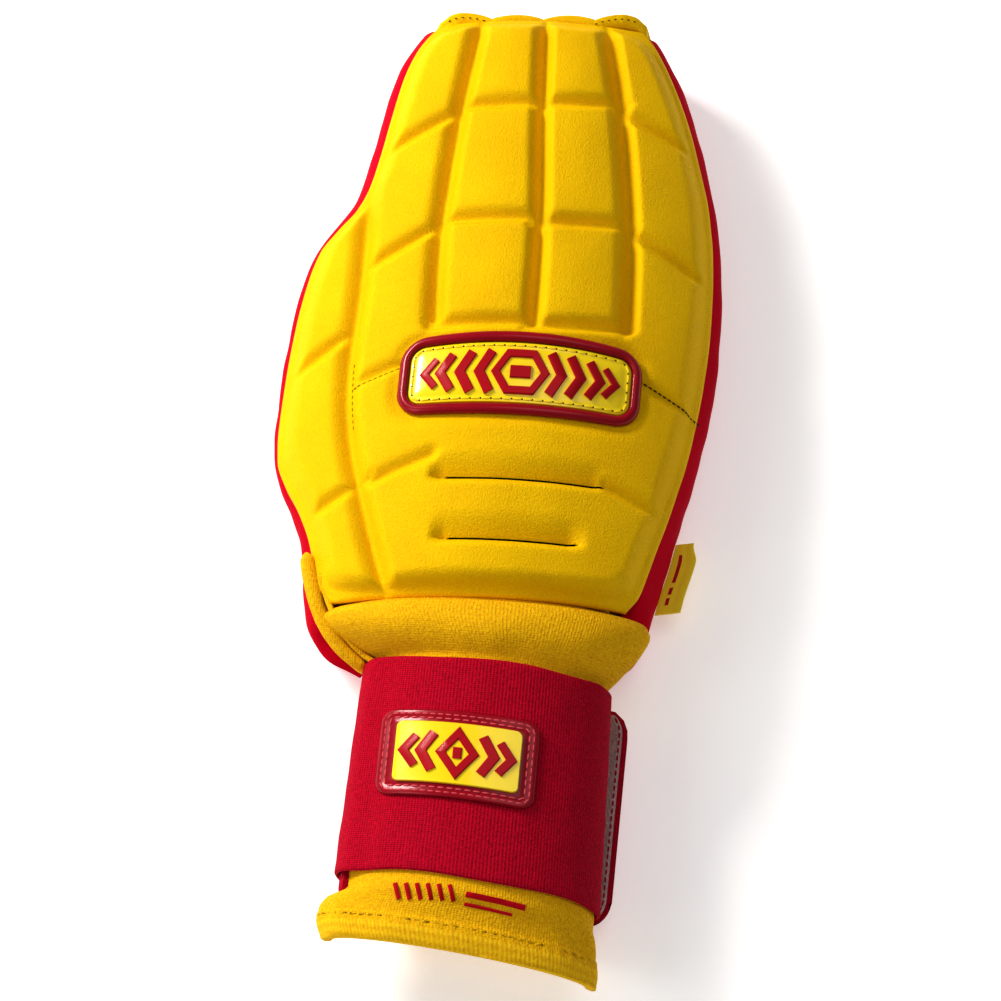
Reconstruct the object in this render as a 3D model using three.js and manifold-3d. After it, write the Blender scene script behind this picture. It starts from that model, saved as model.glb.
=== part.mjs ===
// A sliding mitt: the padded mitt that a base runner wears on one hand.
// It lies on its palm, in millimetres: +Z up, +Y towards the fingertips, the thumb on the -X side.
// Along the mitt, y runs from 0 at the back pad's wrist edge to padLength at the fingertips.
import * as THREE from "three";
import { mergeVertices } from "three/addons/utils/BufferGeometryUtils.js";
import Module from "manifold-3d";

const wasm = await Module();
wasm.setup();

// Back pad: a moulded sheet with raised cells, bent over the back of the hand
const padLength = 213;
const padWidth = 141;
const crownHeight = 60; // highest point of the back above the surface that the mitt lies on
const wristDip = 2; // the crown is this much lower at the wrist edge
const tipDrop = 13; // and this much lower at the fingertips
const domeRadius = 97; // bend across the hand
const edgeLean = 0.05; // the cross lines of the pad rise this much for each unit towards the outer side
const flangeThickness = 4;
const fieldSink = 1.3; // the raised field is let this far into the sheet
const flangeWidth = 2.4;
const cellHeight = 6;
const shoulderWidth = 3;
const grooveFloor = 1.6;

// Flex slits near the wrist, each at the bottom of a dent
const slitWidth = 1;
const dentDepth = 4.2;
const dentSlope = 7.5;
const dentLip = 1.6;

// Badge on the back pad
const badgeWidth = 80;
const badgeHeight = 26.5;
const badgeArch = 3;
const badgeCorner = 8;
const badgeBorder = 3.8;
const badgeThickness = 2.6;
const badgeSink = 1.4;
const badgePlateThickness = 1.5;

// Palm pad, side walls and fingertip wall
const palmThickness = 8;
const palmRound = 3.5;
const heelLength = 16.6; // the palm pad runs this far past the back pad's wrist edge
const heelRise = 7; // height of the side walls there
const heelLean = 0.35;
const wallThickness = 3;
const wallBulge = 1.5;
const tipThickness = 3; // the fingertip wall stands outside the back pad's rim
const tipReach = 2; // how far the palm pad carries it past the back pad
const tipLevel = 0.2; // its top is as high as the back pad's rim is this share of padWidth from the middle
const tipLean = 0.03; // it stands out further towards the outer side
const lobeDepth = 1.5; // and further in the middle of each finger
const seamGap = 0.5;

// Neoprene sleeve
const sleeveWall = 3;
const sleeveInside = 15; // how far it reaches in under the back pad
const sleeveTuck = 1.6; // how far its crown lies under the back pad there
const sleeveNarrowing = 0.93; // its width there, as a share of the back pad's
const wristWidth = 76.4;
const wristHeight = 45.8;
const forearmWidth = 81;
const forearmHeight = 47;
const wristCentre = 4; // across, from the middle of the back pad
const forearmCentre = 4;
const cuffLength = 20.5; // from the strap to the rim
const rimCutBack = 12.5; // the palm side of the rim ends this much sooner
const rimLean = -0.1;
const hemWidth = 8;
const hemThickness = 0.7;
const weltRadius = 2.6;
const weltTop = 0.095; // how far up the side of the back pad the welt goes, as a share of padLength

// Elastic strap, wound one and a half times round the wrist
const strapWidth = 73;
const strapThickness = 1.6;
const strapGap = 5; // from the palm pad's heel
const strapLean = -0.035; // of its edge by the hand
const strapEndLean = -0.07; // of its edge by the rim
const strapStartAngle = 164; // degrees round the wrist, 0 on the outer side and 90 on the back of the hand
const strapLeaveAngle = 672;
const startShift = 2.2; // the first end lies this much nearer the rim
const tailLength = 22;
const tailRound = 9;
const tailLean = 2.5; // its end is this much shorter at the edge by the rim
const tailBend = 34; // radius of its bend away from the wrist
const gripThickness = 0.9;
const gripStart = 7; // from where the tail leaves the wrist
const gripMargin = 2;

// Badge on the strap
const strapBadgeWidth = 49;
const strapBadgeHeight = 29;
const strapBadgeCorner = 4.5;
const strapBadgeThickness = 1.2;
const strapBadgeShift = -3.2; // across, from the middle of the back pad
const strapBadgePlace = 0.46; // along the strap's width, from its edge by the hand
const strapPlateWidth = 39;
const strapPlateHeight = 20.5;
const strapPlateCorner = 2;
const strapPlateThickness = 0.8;

// Side label
const labelLength = 25;
const labelReach = 8.5;
const labelThickness = 1.2;
const labelPlace = 21; // along the pad
const labelHeight = 11;
const labelSlant = 0.16;
const labelChamfer = 2.4; // its corner towards the fingertips is this much shorter

const clearance = 0.3; // between pieces that lie on each other
const cutOver = 2; // cuts run this far past the faces that they open
const wristLow = clearance + 2 * (strapThickness + clearance);
const strapTop = -(heelLength + strapGap);
const strapEnd = strapTop - strapWidth;
const sheetBottom = cellHeight + flangeThickness;

// Outline of the back pad and, below it, of the palm pad: lengths are shares of padLength, widths of padWidth
const outline = [
  { along: 0, padThumb: -0.355, padOuter: 0.326, palmThumb: -0.422, palmOuter: 0.379 },
  { along: 0.028, padThumb: -0.387, padOuter: 0.353, palmThumb: -0.427, palmOuter: 0.389 },
  { along: 0.065, padThumb: -0.404, padOuter: 0.369, palmThumb: -0.433, palmOuter: 0.399 },
  { along: 0.112, padThumb: -0.426, padOuter: 0.387, palmThumb: -0.441, palmOuter: 0.416 },
  { along: 0.159, padThumb: -0.457, padOuter: 0.406, palmThumb: -0.461, palmOuter: 0.429 },
  { along: 0.206, padThumb: -0.496, padOuter: 0.422, palmThumb: -0.495, palmOuter: 0.443 },
  { along: 0.252, padThumb: -0.523, padOuter: 0.437, palmThumb: -0.525, palmOuter: 0.46 },
  { along: 0.308, padThumb: -0.53, padOuter: 0.45, palmThumb: -0.538, palmOuter: 0.472 },
  { along: 0.393, padThumb: -0.527, padOuter: 0.464, palmThumb: -0.538, palmOuter: 0.491 },
  { along: 0.486, padThumb: -0.517, padOuter: 0.471, palmThumb: -0.531, palmOuter: 0.496 },
  { along: 0.561, padThumb: -0.5, padOuter: 0.469, palmThumb: -0.519, palmOuter: 0.494 },
  { along: 0.612, padThumb: -0.477, padOuter: 0.464, palmThumb: -0.502, palmOuter: 0.487 },
  { along: 0.645, padThumb: -0.438, padOuter: 0.459, palmThumb: -0.481, palmOuter: 0.482 },
  { along: 0.673, padThumb: -0.399, padOuter: 0.452, palmThumb: -0.452, palmOuter: 0.475 },
  { along: 0.71, padThumb: -0.373, padOuter: 0.442, palmThumb: -0.414, palmOuter: 0.465 },
  { along: 0.766, padThumb: -0.355, padOuter: 0.418, palmThumb: -0.392, palmOuter: 0.443 },
  { along: 0.841, padThumb: -0.337, padOuter: 0.382, palmThumb: -0.373, palmOuter: 0.411 },
  { along: 0.907, padThumb: -0.319, padOuter: 0.34, palmThumb: -0.355, palmOuter: 0.374 },
  { along: 0.953, padThumb: -0.296, padOuter: 0.304, palmThumb: -0.338, palmOuter: 0.34 },
  { along: 0.986, padThumb: -0.264, padOuter: 0.272, palmThumb: -0.306, palmOuter: 0.302 },
  { along: 1, padThumb: -0.24, padOuter: 0.25, palmThumb: -0.275, palmOuter: 0.281 },
];

// The palm pad's heel: lengths are shares of heelLength past the back pad, widths of padWidth,
// and the height of the side wall that ends there is a share of heelRise
const heel = [
  { past: 0.3, thumb: -0.396, outer: 0.369, wall: 1 },
  { past: 0.68, thumb: -0.352, outer: 0.337, wall: 0.8 },
  { past: 0.92, thumb: -0.28, outer: 0.275, wall: 0.35 },
  { past: 1, thumb: -0.215, outer: 0.215, wall: 0 },
];

// Long grooves between the finger columns: places are shares of padWidth and padLength, depths of cellHeight
const longGrooves = [
  {
    width: 7,
    depth: 1,
    course: [
      { across: -0.135, along: 1.03 },
      { across: -0.169, along: 0.816 },
      { across: -0.185, along: 0.61 },
      { across: -0.177, along: 0.452 },
    ],
  },
  {
    width: 6,
    depth: 1,
    course: [
      { across: 0.012, along: 1.03 },
      { across: 0.028, along: 0.828 },
      { across: 0.05, along: 0.622 },
      { across: 0.056, along: 0.447 },
    ],
  },
  {
    width: 7,
    depth: 1,
    course: [
      { across: 0.152, along: 1.03 },
      { across: 0.217, along: 0.837 },
      { across: 0.262, along: 0.629 },
      { across: 0.277, along: 0.456 },
    ],
  },
  {
    width: 8,
    depth: 1,
    course: [
      { across: -0.368, along: 0.7 },
      { across: -0.364, along: 0.52 },
      { across: -0.37, along: 0.38 },
      { across: -0.354, along: 0.275 },
      { across: -0.314, along: 0.173 },
      { across: -0.257, along: 0.056 },
      { across: -0.214, along: -0.02 },
    ],
  },
];

// Cross grooves, each straight between two long grooves or out to the edge
const crossGrooves = [
  { fromAcross: -0.345, fromAlong: 0.755, toAcross: -0.17, toAlong: 0.819, width: 4.5, depth: 0.6 },
  { fromAcross: -0.36, fromAlong: 0.547, toAcross: -0.184, toAlong: 0.614, width: 4.5, depth: 0.6 },
  { fromAcross: -0.365, fromAlong: 0.347, toAcross: -0.22, toAlong: 0.38, width: 4, depth: 0.5 },
  { fromAcross: -0.29, fromAlong: 0.18, toAcross: -0.165, toAlong: 0.214, width: 4.5, depth: 0.5 },
  { fromAcross: -0.56, fromAlong: 0.36, toAcross: -0.375, toAlong: 0.44, width: 4.5, depth: 0.6 },
  { fromAcross: -0.49, fromAlong: 0.112, toAcross: -0.31, toAlong: 0.182, width: 4.5, depth: 0.6 },
  { fromAcross: -0.165, fromAlong: 0.826, toAcross: 0.018, toAlong: 0.834, width: 4.5, depth: 0.6 },
  { fromAcross: -0.183, fromAlong: 0.62, toAcross: 0.04, toAlong: 0.626, width: 4.5, depth: 0.6 },
  { fromAcross: -0.175, fromAlong: 0.437, toAcross: 0.047, toAlong: 0.443, width: 4.5, depth: 0.6 },
  { fromAcross: 0.018, fromAlong: 0.832, toAcross: 0.21, toAlong: 0.845, width: 4.5, depth: 0.6 },
  { fromAcross: 0.04, fromAlong: 0.618, toAcross: 0.25, toAlong: 0.628, width: 4.5, depth: 0.6 },
  { fromAcross: 0.048, fromAlong: 0.437, toAcross: 0.266, toAlong: 0.449, width: 4.5, depth: 0.6 },
  { fromAcross: 0.208, fromAlong: 0.831, toAcross: 0.4, toAlong: 0.783, width: 4.5, depth: 0.6 },
  { fromAcross: 0.255, fromAlong: 0.62, toAcross: 0.48, toAlong: 0.551, width: 4.5, depth: 0.6 },
  { fromAcross: 0.3, fromAlong: 0.369, toAcross: 0.47, toAlong: 0.322, width: 3.5, depth: 0.5 },
  { fromAcross: 0.265, fromAlong: 0.182, toAcross: 0.42, toAlong: 0.144, width: 4.5, depth: 0.5 },
];

// Flex slits: the place of each, from thumb side to outer side
const slits = [
  { thumb: -0.144, outer: 0.256, along: 0.183 },
  { thumb: -0.124, outer: 0.21, along: 0.084 },
];

// The sleeve's collar between the back pad and the strap: lengths are shares of the way to the strap,
// widths of padWidth and heights of crownHeight
const collar = [
  { past: 0.035, thumb: -0.33, outer: 0.312, high: 0.778 },
  { past: 0.12, thumb: -0.362, outer: 0.375, high: 0.868 },
  { past: 0.24, thumb: -0.38, outer: 0.391, high: 0.9 },
  { past: 0.4, thumb: -0.366, outer: 0.379, high: 0.907 },
  { past: 0.6, thumb: -0.328, outer: 0.354, high: 0.888 },
  { past: 0.8, thumb: -0.28, outer: 0.325, high: 0.862 },
];

// The sleeve past the strap: lengths are shares of cuffLength, widths of forearmWidth, heights of
// forearmHeight, and the palm side is cut back by a share of rimCutBack
const cuff = [
  { past: 0.2, wider: 1, shift: 0, low: 0, high: 1, cutBack: 0 },
  { past: 0.36, wider: 1.075, shift: -0.025, low: 0.025, high: 0.92, cutBack: 0.2 },
  { past: 0.59, wider: 1.11, shift: -0.035, low: 0.05, high: 0.85, cutBack: 0.5 },
  { past: 0.61, wider: 1.11, shift: -0.035, low: 0.052, high: 0.847, cutBack: 0.52 },
  { past: 1, wider: 1.09, shift: -0.02, low: 0.08, high: 0.775, cutBack: 1 },
];

const lerp = THREE.MathUtils.lerp;
const smooth = THREE.MathUtils.smoothstep;
const radians = THREE.MathUtils.degToRad;

// Reads one column of a table at any place: cubic between the rows, and never past them
function track(rows, place, column) {
  const at = rows.map((row) => row[place]);
  const value = rows.map((row) => row[column]);
  const last = rows.length - 1;
  const steep = at.slice(1).map((next, i) => (value[i + 1] - value[i]) / (next - at[i]));
  const slope = at.map((_, i) => {
    if (i === 0) return steep[0];
    if (i === last) return steep[last - 1];
    return steep[i - 1] * steep[i] <= 0 ? 0 : (2 * steep[i - 1] * steep[i]) / (steep[i - 1] + steep[i]);
  });
  return (s) => {
    const i = Math.max(0, Math.min(last - 1, at.findIndex((next) => next > s) - 1));
    const from = s >= at[last] ? last - 1 : i;
    const span = at[from + 1] - at[from];
    const t = (THREE.MathUtils.clamp(s, at[0], at[last]) - at[from]) / span;
    const rise = value[from + 1] - value[from];
    const start = slope[from] * span;
    const end = slope[from + 1] * span;
    return value[from] + t * (start + t * (3 * rise - 2 * start - end + t * (start + end - 2 * rise)));
  };
}

const edge = Object.fromEntries(
  ["padThumb", "padOuter", "palmThumb", "palmOuter"].map((name) => {
    const read = track(outline, "along", name);
    return [name, (y) => padWidth * read(y / padLength)];
  }),
);

// Height of the back pad's smooth top, before its grooves
function domeHeight(x, y) {
  const share = THREE.MathUtils.clamp(y / padLength, 0, 1);
  const crown = crownHeight - wristDip * (1 - share) ** 4 - tipDrop * share ** 2.2;
  return crown - (x * x) / (2 * domeRadius);
}

// A point of the back pad: y is measured along the leaning cross lines, and rise from the smooth top
const padPoint = (x, y, rise) => new THREE.Vector3(x, y + edgeLean * x, domeHeight(x, y) + rise);

// A closed geometry from points and triangles, turned so that its faces point out
function closedGeometry(points, faces) {
  const volume = faces.reduce((sum, [a, b, c]) => {
    return sum + points[a].dot(new THREE.Vector3().crossVectors(points[b], points[c]));
  }, 0);
  const turned = volume < 0 ? faces.map(([a, b, c]) => [a, c, b]) : faces;
  const geometry = new THREE.BufferGeometry().setFromPoints(points);
  geometry.setIndex(turned.flat());
  return geometry;
}

// Two triangles for each cell between neighbouring rows of a grid of point numbers
function gridFaces(rows, wrap) {
  const faces = [];
  for (let i = 0; i + 1 < rows.length; i++) {
    const width = rows[i].length;
    for (let j = 0; j + (wrap ? 0 : 1) < width; j++) {
      const k = (j + 1) % width;
      faces.push([rows[i][j], rows[i + 1][j], rows[i + 1][k]], [rows[i][j], rows[i + 1][k], rows[i][k]]);
    }
  }
  return faces;
}

const numbered = (grid, first) => grid.map((row, i) => row.map((_, j) => first + i * row.length + j));

// A closed slab between an upper and a lower grid of points of the same size
function slab(upper, lower) {
  const points = [...upper.flat(), ...lower.flat()];
  const top = numbered(upper, 0);
  const bottom = numbered(lower, upper.flat().length);
  const rim = (grid) => [
    ...grid[0],
    ...grid.slice(1, -1).map((row) => row.at(-1)),
    ...grid.at(-1).slice().reverse(),
    ...grid.slice(1, -1).reverse().map((row) => row[0]),
  ];
  const faces = [
    ...gridFaces(top, false),
    ...gridFaces(bottom, false).map(([a, b, c]) => [a, c, b]),
    ...gridFaces([rim(bottom), rim(top)], true),
  ];
  return closedGeometry(points, faces);
}

// A tube with a wall, from its outer and inner rings
function pipe(outer, inner) {
  const points = [...outer.flat(), ...inner.flat()];
  const outside = numbered(outer, 0);
  const inside = numbered(inner, outer.flat().length);
  return closedGeometry(points, gridFaces([...outside, ...inside.reverse(), outside[0]], true));
}

// A rod through rings of points, closed at both ends by a fan
function rod(rings) {
  const points = rings.flat();
  const numbers = numbered(rings, 0);
  const faces = gridFaces(numbers, true);
  for (const [ring, turn] of [[numbers[0], true], [numbers.at(-1), false]]) {
    const centre = ring.reduce((sum, i) => sum.add(points[i]), new THREE.Vector3()).divideScalar(ring.length);
    const middle = points.push(centre) - 1;
    ring.forEach((a, j) => {
      const b = ring[(j + 1) % ring.length];
      faces.push(turn ? [middle, a, b] : [middle, b, a]);
    });
  }
  return closedGeometry(points, faces);
}

function solidOf(geometry) {
  const bare = mergeVertices(geometry, 1e-4);
  return new wasm.Manifold(
    new wasm.Mesh({
      numProp: 3,
      vertProperties: bare.attributes.position.array,
      triVerts: new Uint32Array(bare.index.array),
    }),
  );
}

function geometryOf(solid) {
  const mesh = solid.getMesh();
  const geometry = new THREE.BufferGeometry();
  geometry.setAttribute("position", new THREE.BufferAttribute(mesh.vertProperties, 3));
  geometry.setIndex(new THREE.BufferAttribute(mesh.triVerts, 1));
  return geometry;
}

const steps = (count) => Array.from({ length: count + 1 }, (_, i) => i / count);

// Back pad

const padColumns = 12;

// Rows of points over the pad's outline drawn in by an inset, at a rise from the smooth top
function padGrid(inset, rise) {
  const alongs = outline.map((row) => lerp(inset, padLength - inset, row.along));
  return alongs.map((y) => {
    const left = edge.padThumb(y) + inset;
    const right = edge.padOuter(y) - inset;
    return steps(padColumns).map((t) => padPoint(lerp(left, right, t), y, rise));
  });
}

// A trench cut down from above the pad along a course of places: wide at the top, narrow at the floor
function trench(places, depth, wideLeft, wideRight, floorLeft, floorRight) {
  const reach = (depth + cutOver) / depth;
  const upper = [];
  const lower = [];
  places.forEach((place, i) => {
    const before = places[Math.max(0, i - 1)];
    const after = places[Math.min(places.length - 1, i + 1)];
    const side = new THREE.Vector2(after.y - before.y, before.x - after.x).normalize();
    const beside = (distance, rise) => {
      const at = place.clone().addScaledVector(side, distance);
      return padPoint(at.x, at.y, rise);
    };
    const mouthLeft = lerp(floorLeft, wideLeft, reach);
    const mouthRight = lerp(floorRight, wideRight, reach);
    upper.push([beside(-mouthLeft, cutOver), beside(mouthRight, cutOver)]);
    lower.push([beside(-floorLeft, -depth), beside(floorRight, -depth)]);
  });
  return solidOf(slab(upper, lower));
}

function longGroove({ course, width, depth }) {
  const curve = new THREE.SplineCurve(
    course.map(({ across, along }) => new THREE.Vector2(across * padWidth, along * padLength)),
  );
  const places = curve.getPoints(4 * (course.length - 1));
  return trench(places, depth * cellHeight, width / 2, width / 2, grooveFloor / 2, grooveFloor / 2);
}

function crossGroove({ fromAcross, fromAlong, toAcross, toAlong, width, depth }) {
  const from = new THREE.Vector2(fromAcross * padWidth, fromAlong * padLength);
  const to = new THREE.Vector2(toAcross * padWidth, toAlong * padLength);
  const places = steps(3).map((t) => from.clone().lerp(to, t));
  return trench(places, depth * cellHeight, width / 2, width / 2, grooveFloor / 2, grooveFloor / 2);
}

// The dent slopes down from the finger side to the slit and rises steeply on the wrist side
function dentAndSlit({ thumb, outer, along }) {
  const places = steps(6).map((t) => new THREE.Vector2(lerp(thumb, outer, t) * padWidth, along * padLength));
  const dent = trench(places, dentDepth, dentSlope, dentLip, slitWidth, slitWidth);
  const through = sheetBottom + cutOver;
  const half = slitWidth / 2;
  const slit = trench(places.slice(1, -1), through, half, half, half, half);
  return dent.add(slit);
}

const badgeCentre = new THREE.Vector2(0.036 * padWidth, 0.347 * padLength);

// Half the height of a rounded badge at a distance from its middle
function badgeHalf(x, width, height, corner) {
  const over = Math.max(0, Math.abs(x) - (width / 2 - corner));
  return height / 2 - corner + Math.sqrt(Math.max(0, corner * corner - over * over));
}

// Places across a rounded badge: close together in the corners, even between them
function badgeStops(width, corner, flat) {
  const turns = [0, 30, 60, 90].map((degrees) => width / 2 - corner * (1 - Math.sin(radians(degrees))));
  const straight = steps(flat).slice(1, -1).map((t) => lerp(-1, 1, t) * (width / 2 - corner));
  turns[3] -= 0.02 * corner;
  return [...turns.map((x) => -x).reverse(), ...straight, ...turns];
}

// A plate with the badge's outline drawn in by an inset, bent over the pad between two rises
function badgePlate(inset, low, high) {
  const width = badgeWidth - 2 * inset;
  const height = badgeHeight - 2 * inset;
  const corner = Math.max(1, badgeCorner - inset);
  const layer = (rise) =>
    badgeStops(width, corner, 8).map((x) => {
      const half = badgeHalf(x, width, height, corner);
      const arch = badgeArch * (1 - (2 * x / width) ** 2);
      return steps(3).map((t) => {
        return padPoint(badgeCentre.x + x, badgeCentre.y + lerp(-half, half + arch, t), rise);
      });
    });
  return solidOf(slab(layer(high), layer(low)));
}

function backPad() {
  const sheet = solidOf(slab(padGrid(0, -cellHeight), padGrid(0, -sheetBottom)));
  const field = solidOf(
    slab(padGrid(flangeWidth + shoulderWidth, 0), padGrid(flangeWidth, -cellHeight - fieldSink)),
  );
  const cuts = [
    ...longGrooves.map(longGroove),
    ...crossGrooves.map(crossGroove),
    ...slits.map(dentAndSlit),
    badgePlate(-clearance, -badgeSink - clearance, cutOver),
  ];
  return geometryOf(cuts.reduce((pad, cut) => pad.subtract(cut), sheet.add(field)));
}

function badgeRing() {
  const base = -badgeSink;
  const ring = badgePlate(0, base, base + badgeThickness);
  return geometryOf(ring.subtract(badgePlate(badgeBorder, base - cutOver, base + badgeThickness + cutOver)));
}

function badgeField() {
  return geometryOf(badgePlate(badgeBorder + clearance, -badgeSink, badgePlateThickness - badgeSink));
}

// Palm pad, with a flat underside and a rounded lower edge

function palmPad() {
  const rows = [
    ...heel.slice().reverse().map(({ past, thumb, outer }) => {
      return { y: -past * heelLength, left: thumb * padWidth, right: outer * padWidth };
    }),
    ...outline.map(({ along }) => {
      const y = along * padLength;
      const reach = along === 1 ? tipReach : 0;
      return { y: y + reach, left: edge.palmThumb(y), right: edge.palmOuter(y) };
    }),
  ];
  const first = rows[0].y;
  const last = rows.at(-1).y;
  const layer = (inset, z) =>
    rows.map(({ y, left, right }) => {
      const place = THREE.MathUtils.clamp(y, first + inset, last - inset);
      return [left + inset, right - inset].map((x) => new THREE.Vector3(x, place + edgeLean * x, z));
    });
  const upper = slab(layer(seamGap, palmThickness), layer(seamGap, palmRound));
  const lower = slab(layer(seamGap, palmRound + 0.01), layer(palmRound, 0));
  return geometryOf(solidOf(upper).add(solidOf(lower)));
}

// Side walls and fingertip wall, each through a course of stops round the mitt

const wallFoot = palmThickness + clearance;
const rimUnder = (x, y) => domeHeight(x, y) - sheetBottom - clearance;

// Each stop has a foot on the palm pad, a head under or beside the back pad's rim, and the head's height
const stop = (footX, footY, headX, headY, top) => {
  return { foot: new THREE.Vector2(footX, footY), head: new THREE.Vector2(headX, headY), top };
};

function heelStop(side, row) {
  const x = row[side.toLowerCase()] * padWidth;
  const y = -row.past * heelLength;
  const lean = heelLean * heelRise * row.wall;
  return stop(x, y, x - Math.sign(x) * lean, y, wallFoot + heelRise * row.wall);
}

function sideStop(side, y) {
  const foot = edge["palm" + side](y);
  const head = edge["pad" + side](y) * (1 - seamGap / (padWidth / 2));
  const full = rimUnder(head, y);
  const underWelt = full - 2 * weltRadius - 4 * clearance;
  const low = side === "Thumb" ? underWelt : wallFoot + heelRise;
  const from = side === "Thumb" ? weltTop : 0;
  return stop(foot, y, head, y, lerp(low, full, smooth(y / padLength, from + 0.005, from + 0.035)));
}

// The course of a side wall, from the heel to the fingertips
function sideCourse(side) {
  const alongs = outline.slice(0, -2).map((row) => row.along * padLength);
  return [
    ...heel.slice(0, 3).reverse().map((row) => heelStop(side, row)),
    ...[...alongs, padLength - tipThickness].map((y) => sideStop(side, y)),
  ];
}

// The course of the fingertip wall, in one lobe for each finger
function tipCourse() {
  const lobes = 4;
  const perLobe = 4;
  const level = domeHeight(tipLevel * padWidth, padLength) - cellHeight;
  return steps(lobes * perLobe).map((t) => {
    const footX = lerp(edge.palmThumb(padLength), edge.palmOuter(padLength), t);
    const headX = lerp(edge.padThumb(padLength), edge.padOuter(padLength), t);
    const lobe = lobeDepth * Math.abs(Math.sin(lobes * Math.PI * t));
    const headY = padLength + clearance + tipThickness + lobe + tipLean * (headX - edge.padThumb(padLength));
    const top = Math.min(level, domeHeight(headX, padLength) - cellHeight);
    return stop(footX, padLength + tipReach - seamGap, headX, headY, top);
  });
}

function wall(course, thickness, bulge) {
  const surface = (depth) =>
    course.map(({ foot, head, top }, i) => {
      const before = course[Math.max(0, i - 1)].foot;
      const after = course[Math.min(course.length - 1, i + 1)].foot;
      const normal = new THREE.Vector2(before.y - after.y, after.x - before.x).normalize();
      return steps(4).map((t) => {
        const flat = foot.clone().lerp(head, t ** 1.5);
        flat.addScaledVector(normal, bulge * Math.sin(Math.PI * t) - depth);
        return new THREE.Vector3(flat.x, flat.y + edgeLean * flat.x, lerp(wallFoot, top, t));
      });
    });
  return slab(surface(0), surface(thickness));
}

const thumbWall = () => wall(sideCourse("Thumb"), wallThickness, wallBulge);
const outerWall = () => wall(sideCourse("Outer").reverse(), wallThickness, wallBulge);
const tipWall = () => wall(tipCourse(), tipThickness, 0);

// Sleeve

const sleeveSides = 28;

// A ring round the wrist: an oval between its left and right edge, its lowest and its highest point
function ovalRing(oval, inset, sides = sleeveSides) {
  const centre = (oval.left + oval.right) / 2;
  const middle = (oval.low + oval.high) / 2;
  return Array.from({ length: sides }, (_, i) => {
    const angle = (2 * Math.PI * i) / sides;
    const x = centre + ((oval.right - oval.left) / 2 - inset) * Math.cos(angle);
    const z = middle + ((oval.high - oval.low) / 2 - inset) * Math.sin(angle);
    const cut = (oval.cutBack ?? 0) * Math.max(0, -Math.sin(angle));
    return new THREE.Vector3(x, oval.y + oval.lean * x + cut, z);
  });
}

// The sleeve's oval under the strap, at a share of the way along it
function wristOval(share) {
  const width = lerp(wristWidth, forearmWidth, share);
  const centre = lerp(wristCentre, forearmCentre, share);
  const height = lerp(wristHeight, forearmHeight, share);
  return {
    y: lerp(strapTop, strapEnd, share),
    lean: lerp(strapLean, strapEndLean, share),
    left: centre - width / 2,
    right: centre + width / 2,
    low: wristLow,
    high: wristLow + height,
  };
}

// An oval that fits inside the walls and under the back pad, at a place along the pad
function innerOval(y) {
  const clear = wallThickness + 3 * clearance;
  return {
    y,
    lean: edgeLean,
    left: edge.padThumb(y) * sleeveNarrowing + clear,
    right: edge.padOuter(y) * sleeveNarrowing - clear,
    low: wallFoot,
    high: domeHeight(0, y) - sheetBottom - sleeveTuck,
  };
}

function collarOval({ past, thumb, outer, high }) {
  return {
    y: past * strapTop,
    lean: lerp(edgeLean, strapLean, past),
    left: thumb * padWidth,
    right: outer * padWidth,
    low: wallFoot,
    high: high * crownHeight,
  };
}

function cuffOval({ past, wider, shift, low, high, cutBack }) {
  const width = forearmWidth * wider;
  const centre = forearmCentre + shift * forearmWidth;
  return {
    y: strapEnd - past * cuffLength,
    lean: lerp(strapEndLean, rimLean, past),
    left: centre - width / 2,
    right: centre + width / 2,
    low: wristLow + low * forearmHeight,
    high: wristLow + high * forearmHeight,
    cutBack: cutBack * rimCutBack,
  };
}

function sleeve() {
  const beforeStrap = { ...wristOval(0), y: strapTop + 1 };
  const hemFrom = 1 - hemWidth / cuffLength;
  const ovals = [
    innerOval(sleeveInside),
    innerOval(sleeveInside * 0.2),
    ...collar.map(collarOval),
    beforeStrap,
    ...[0, 0.25, 0.5, 0.75, 1].map(wristOval),
    ...cuff.map(cuffOval),
  ];
  const hemmed = (i) => (cuff[i - (ovals.length - cuff.length)]?.past ?? 0) > hemFrom;
  const outer = ovals.map((oval, i) => ovalRing(oval, hemmed(i) ? -hemThickness : 0));
  const inner = ovals.map((oval, i) => ovalRing(oval, sleeveWall + (hemmed(i) ? hemThickness : 0)));
  return pipe(outer, inner);
}

// The welt that closes the sleeve's seam on the thumb side, from under the back pad's rim down to the strap
function welt() {
  const out = weltRadius + clearance;
  const beside = [0.9, 0.6, 0.35].map((share) => {
    const y = share * weltTop * padLength;
    const x = edge.padThumb(y) - 0.4 * weltRadius;
    return new THREE.Vector3(x, y + edgeLean * x, rimUnder(x, y) - out);
  });
  const seam = collar.map((row) => {
    const oval = collarOval(row);
    return new THREE.Vector3(oval.left, oval.y + oval.lean * oval.left, (oval.low + oval.high) / 2);
  });
  const onCollar = seam.slice(1).map((point, i) => {
    const along = (seam[i + 2] ?? point).clone().sub(seam[i]);
    const away = new THREE.Vector3(along.y, -along.x, 0).normalize();
    return point.clone().addScaledVector(away, out + clearance);
  });
  const course = new THREE.CatmullRomCurve3([...beside, ...onCollar]);
  const count = 16;
  const frames = course.computeFrenetFrames(count);
  const rings = course.getSpacedPoints(count).map((point, i) => {
    const end = Math.min(i, count - i) === 0 ? 0.7 : 1;
    return Array.from({ length: 8 }, (_, k) => {
      const angle = (2 * Math.PI * k) / 8;
      return point
        .clone()
        .addScaledVector(frames.normals[i], end * weltRadius * Math.cos(angle))
        .addScaledVector(frames.binormals[i], end * weltRadius * Math.sin(angle));
    });
  });
  return rod(rings);
}

// Strap

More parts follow.
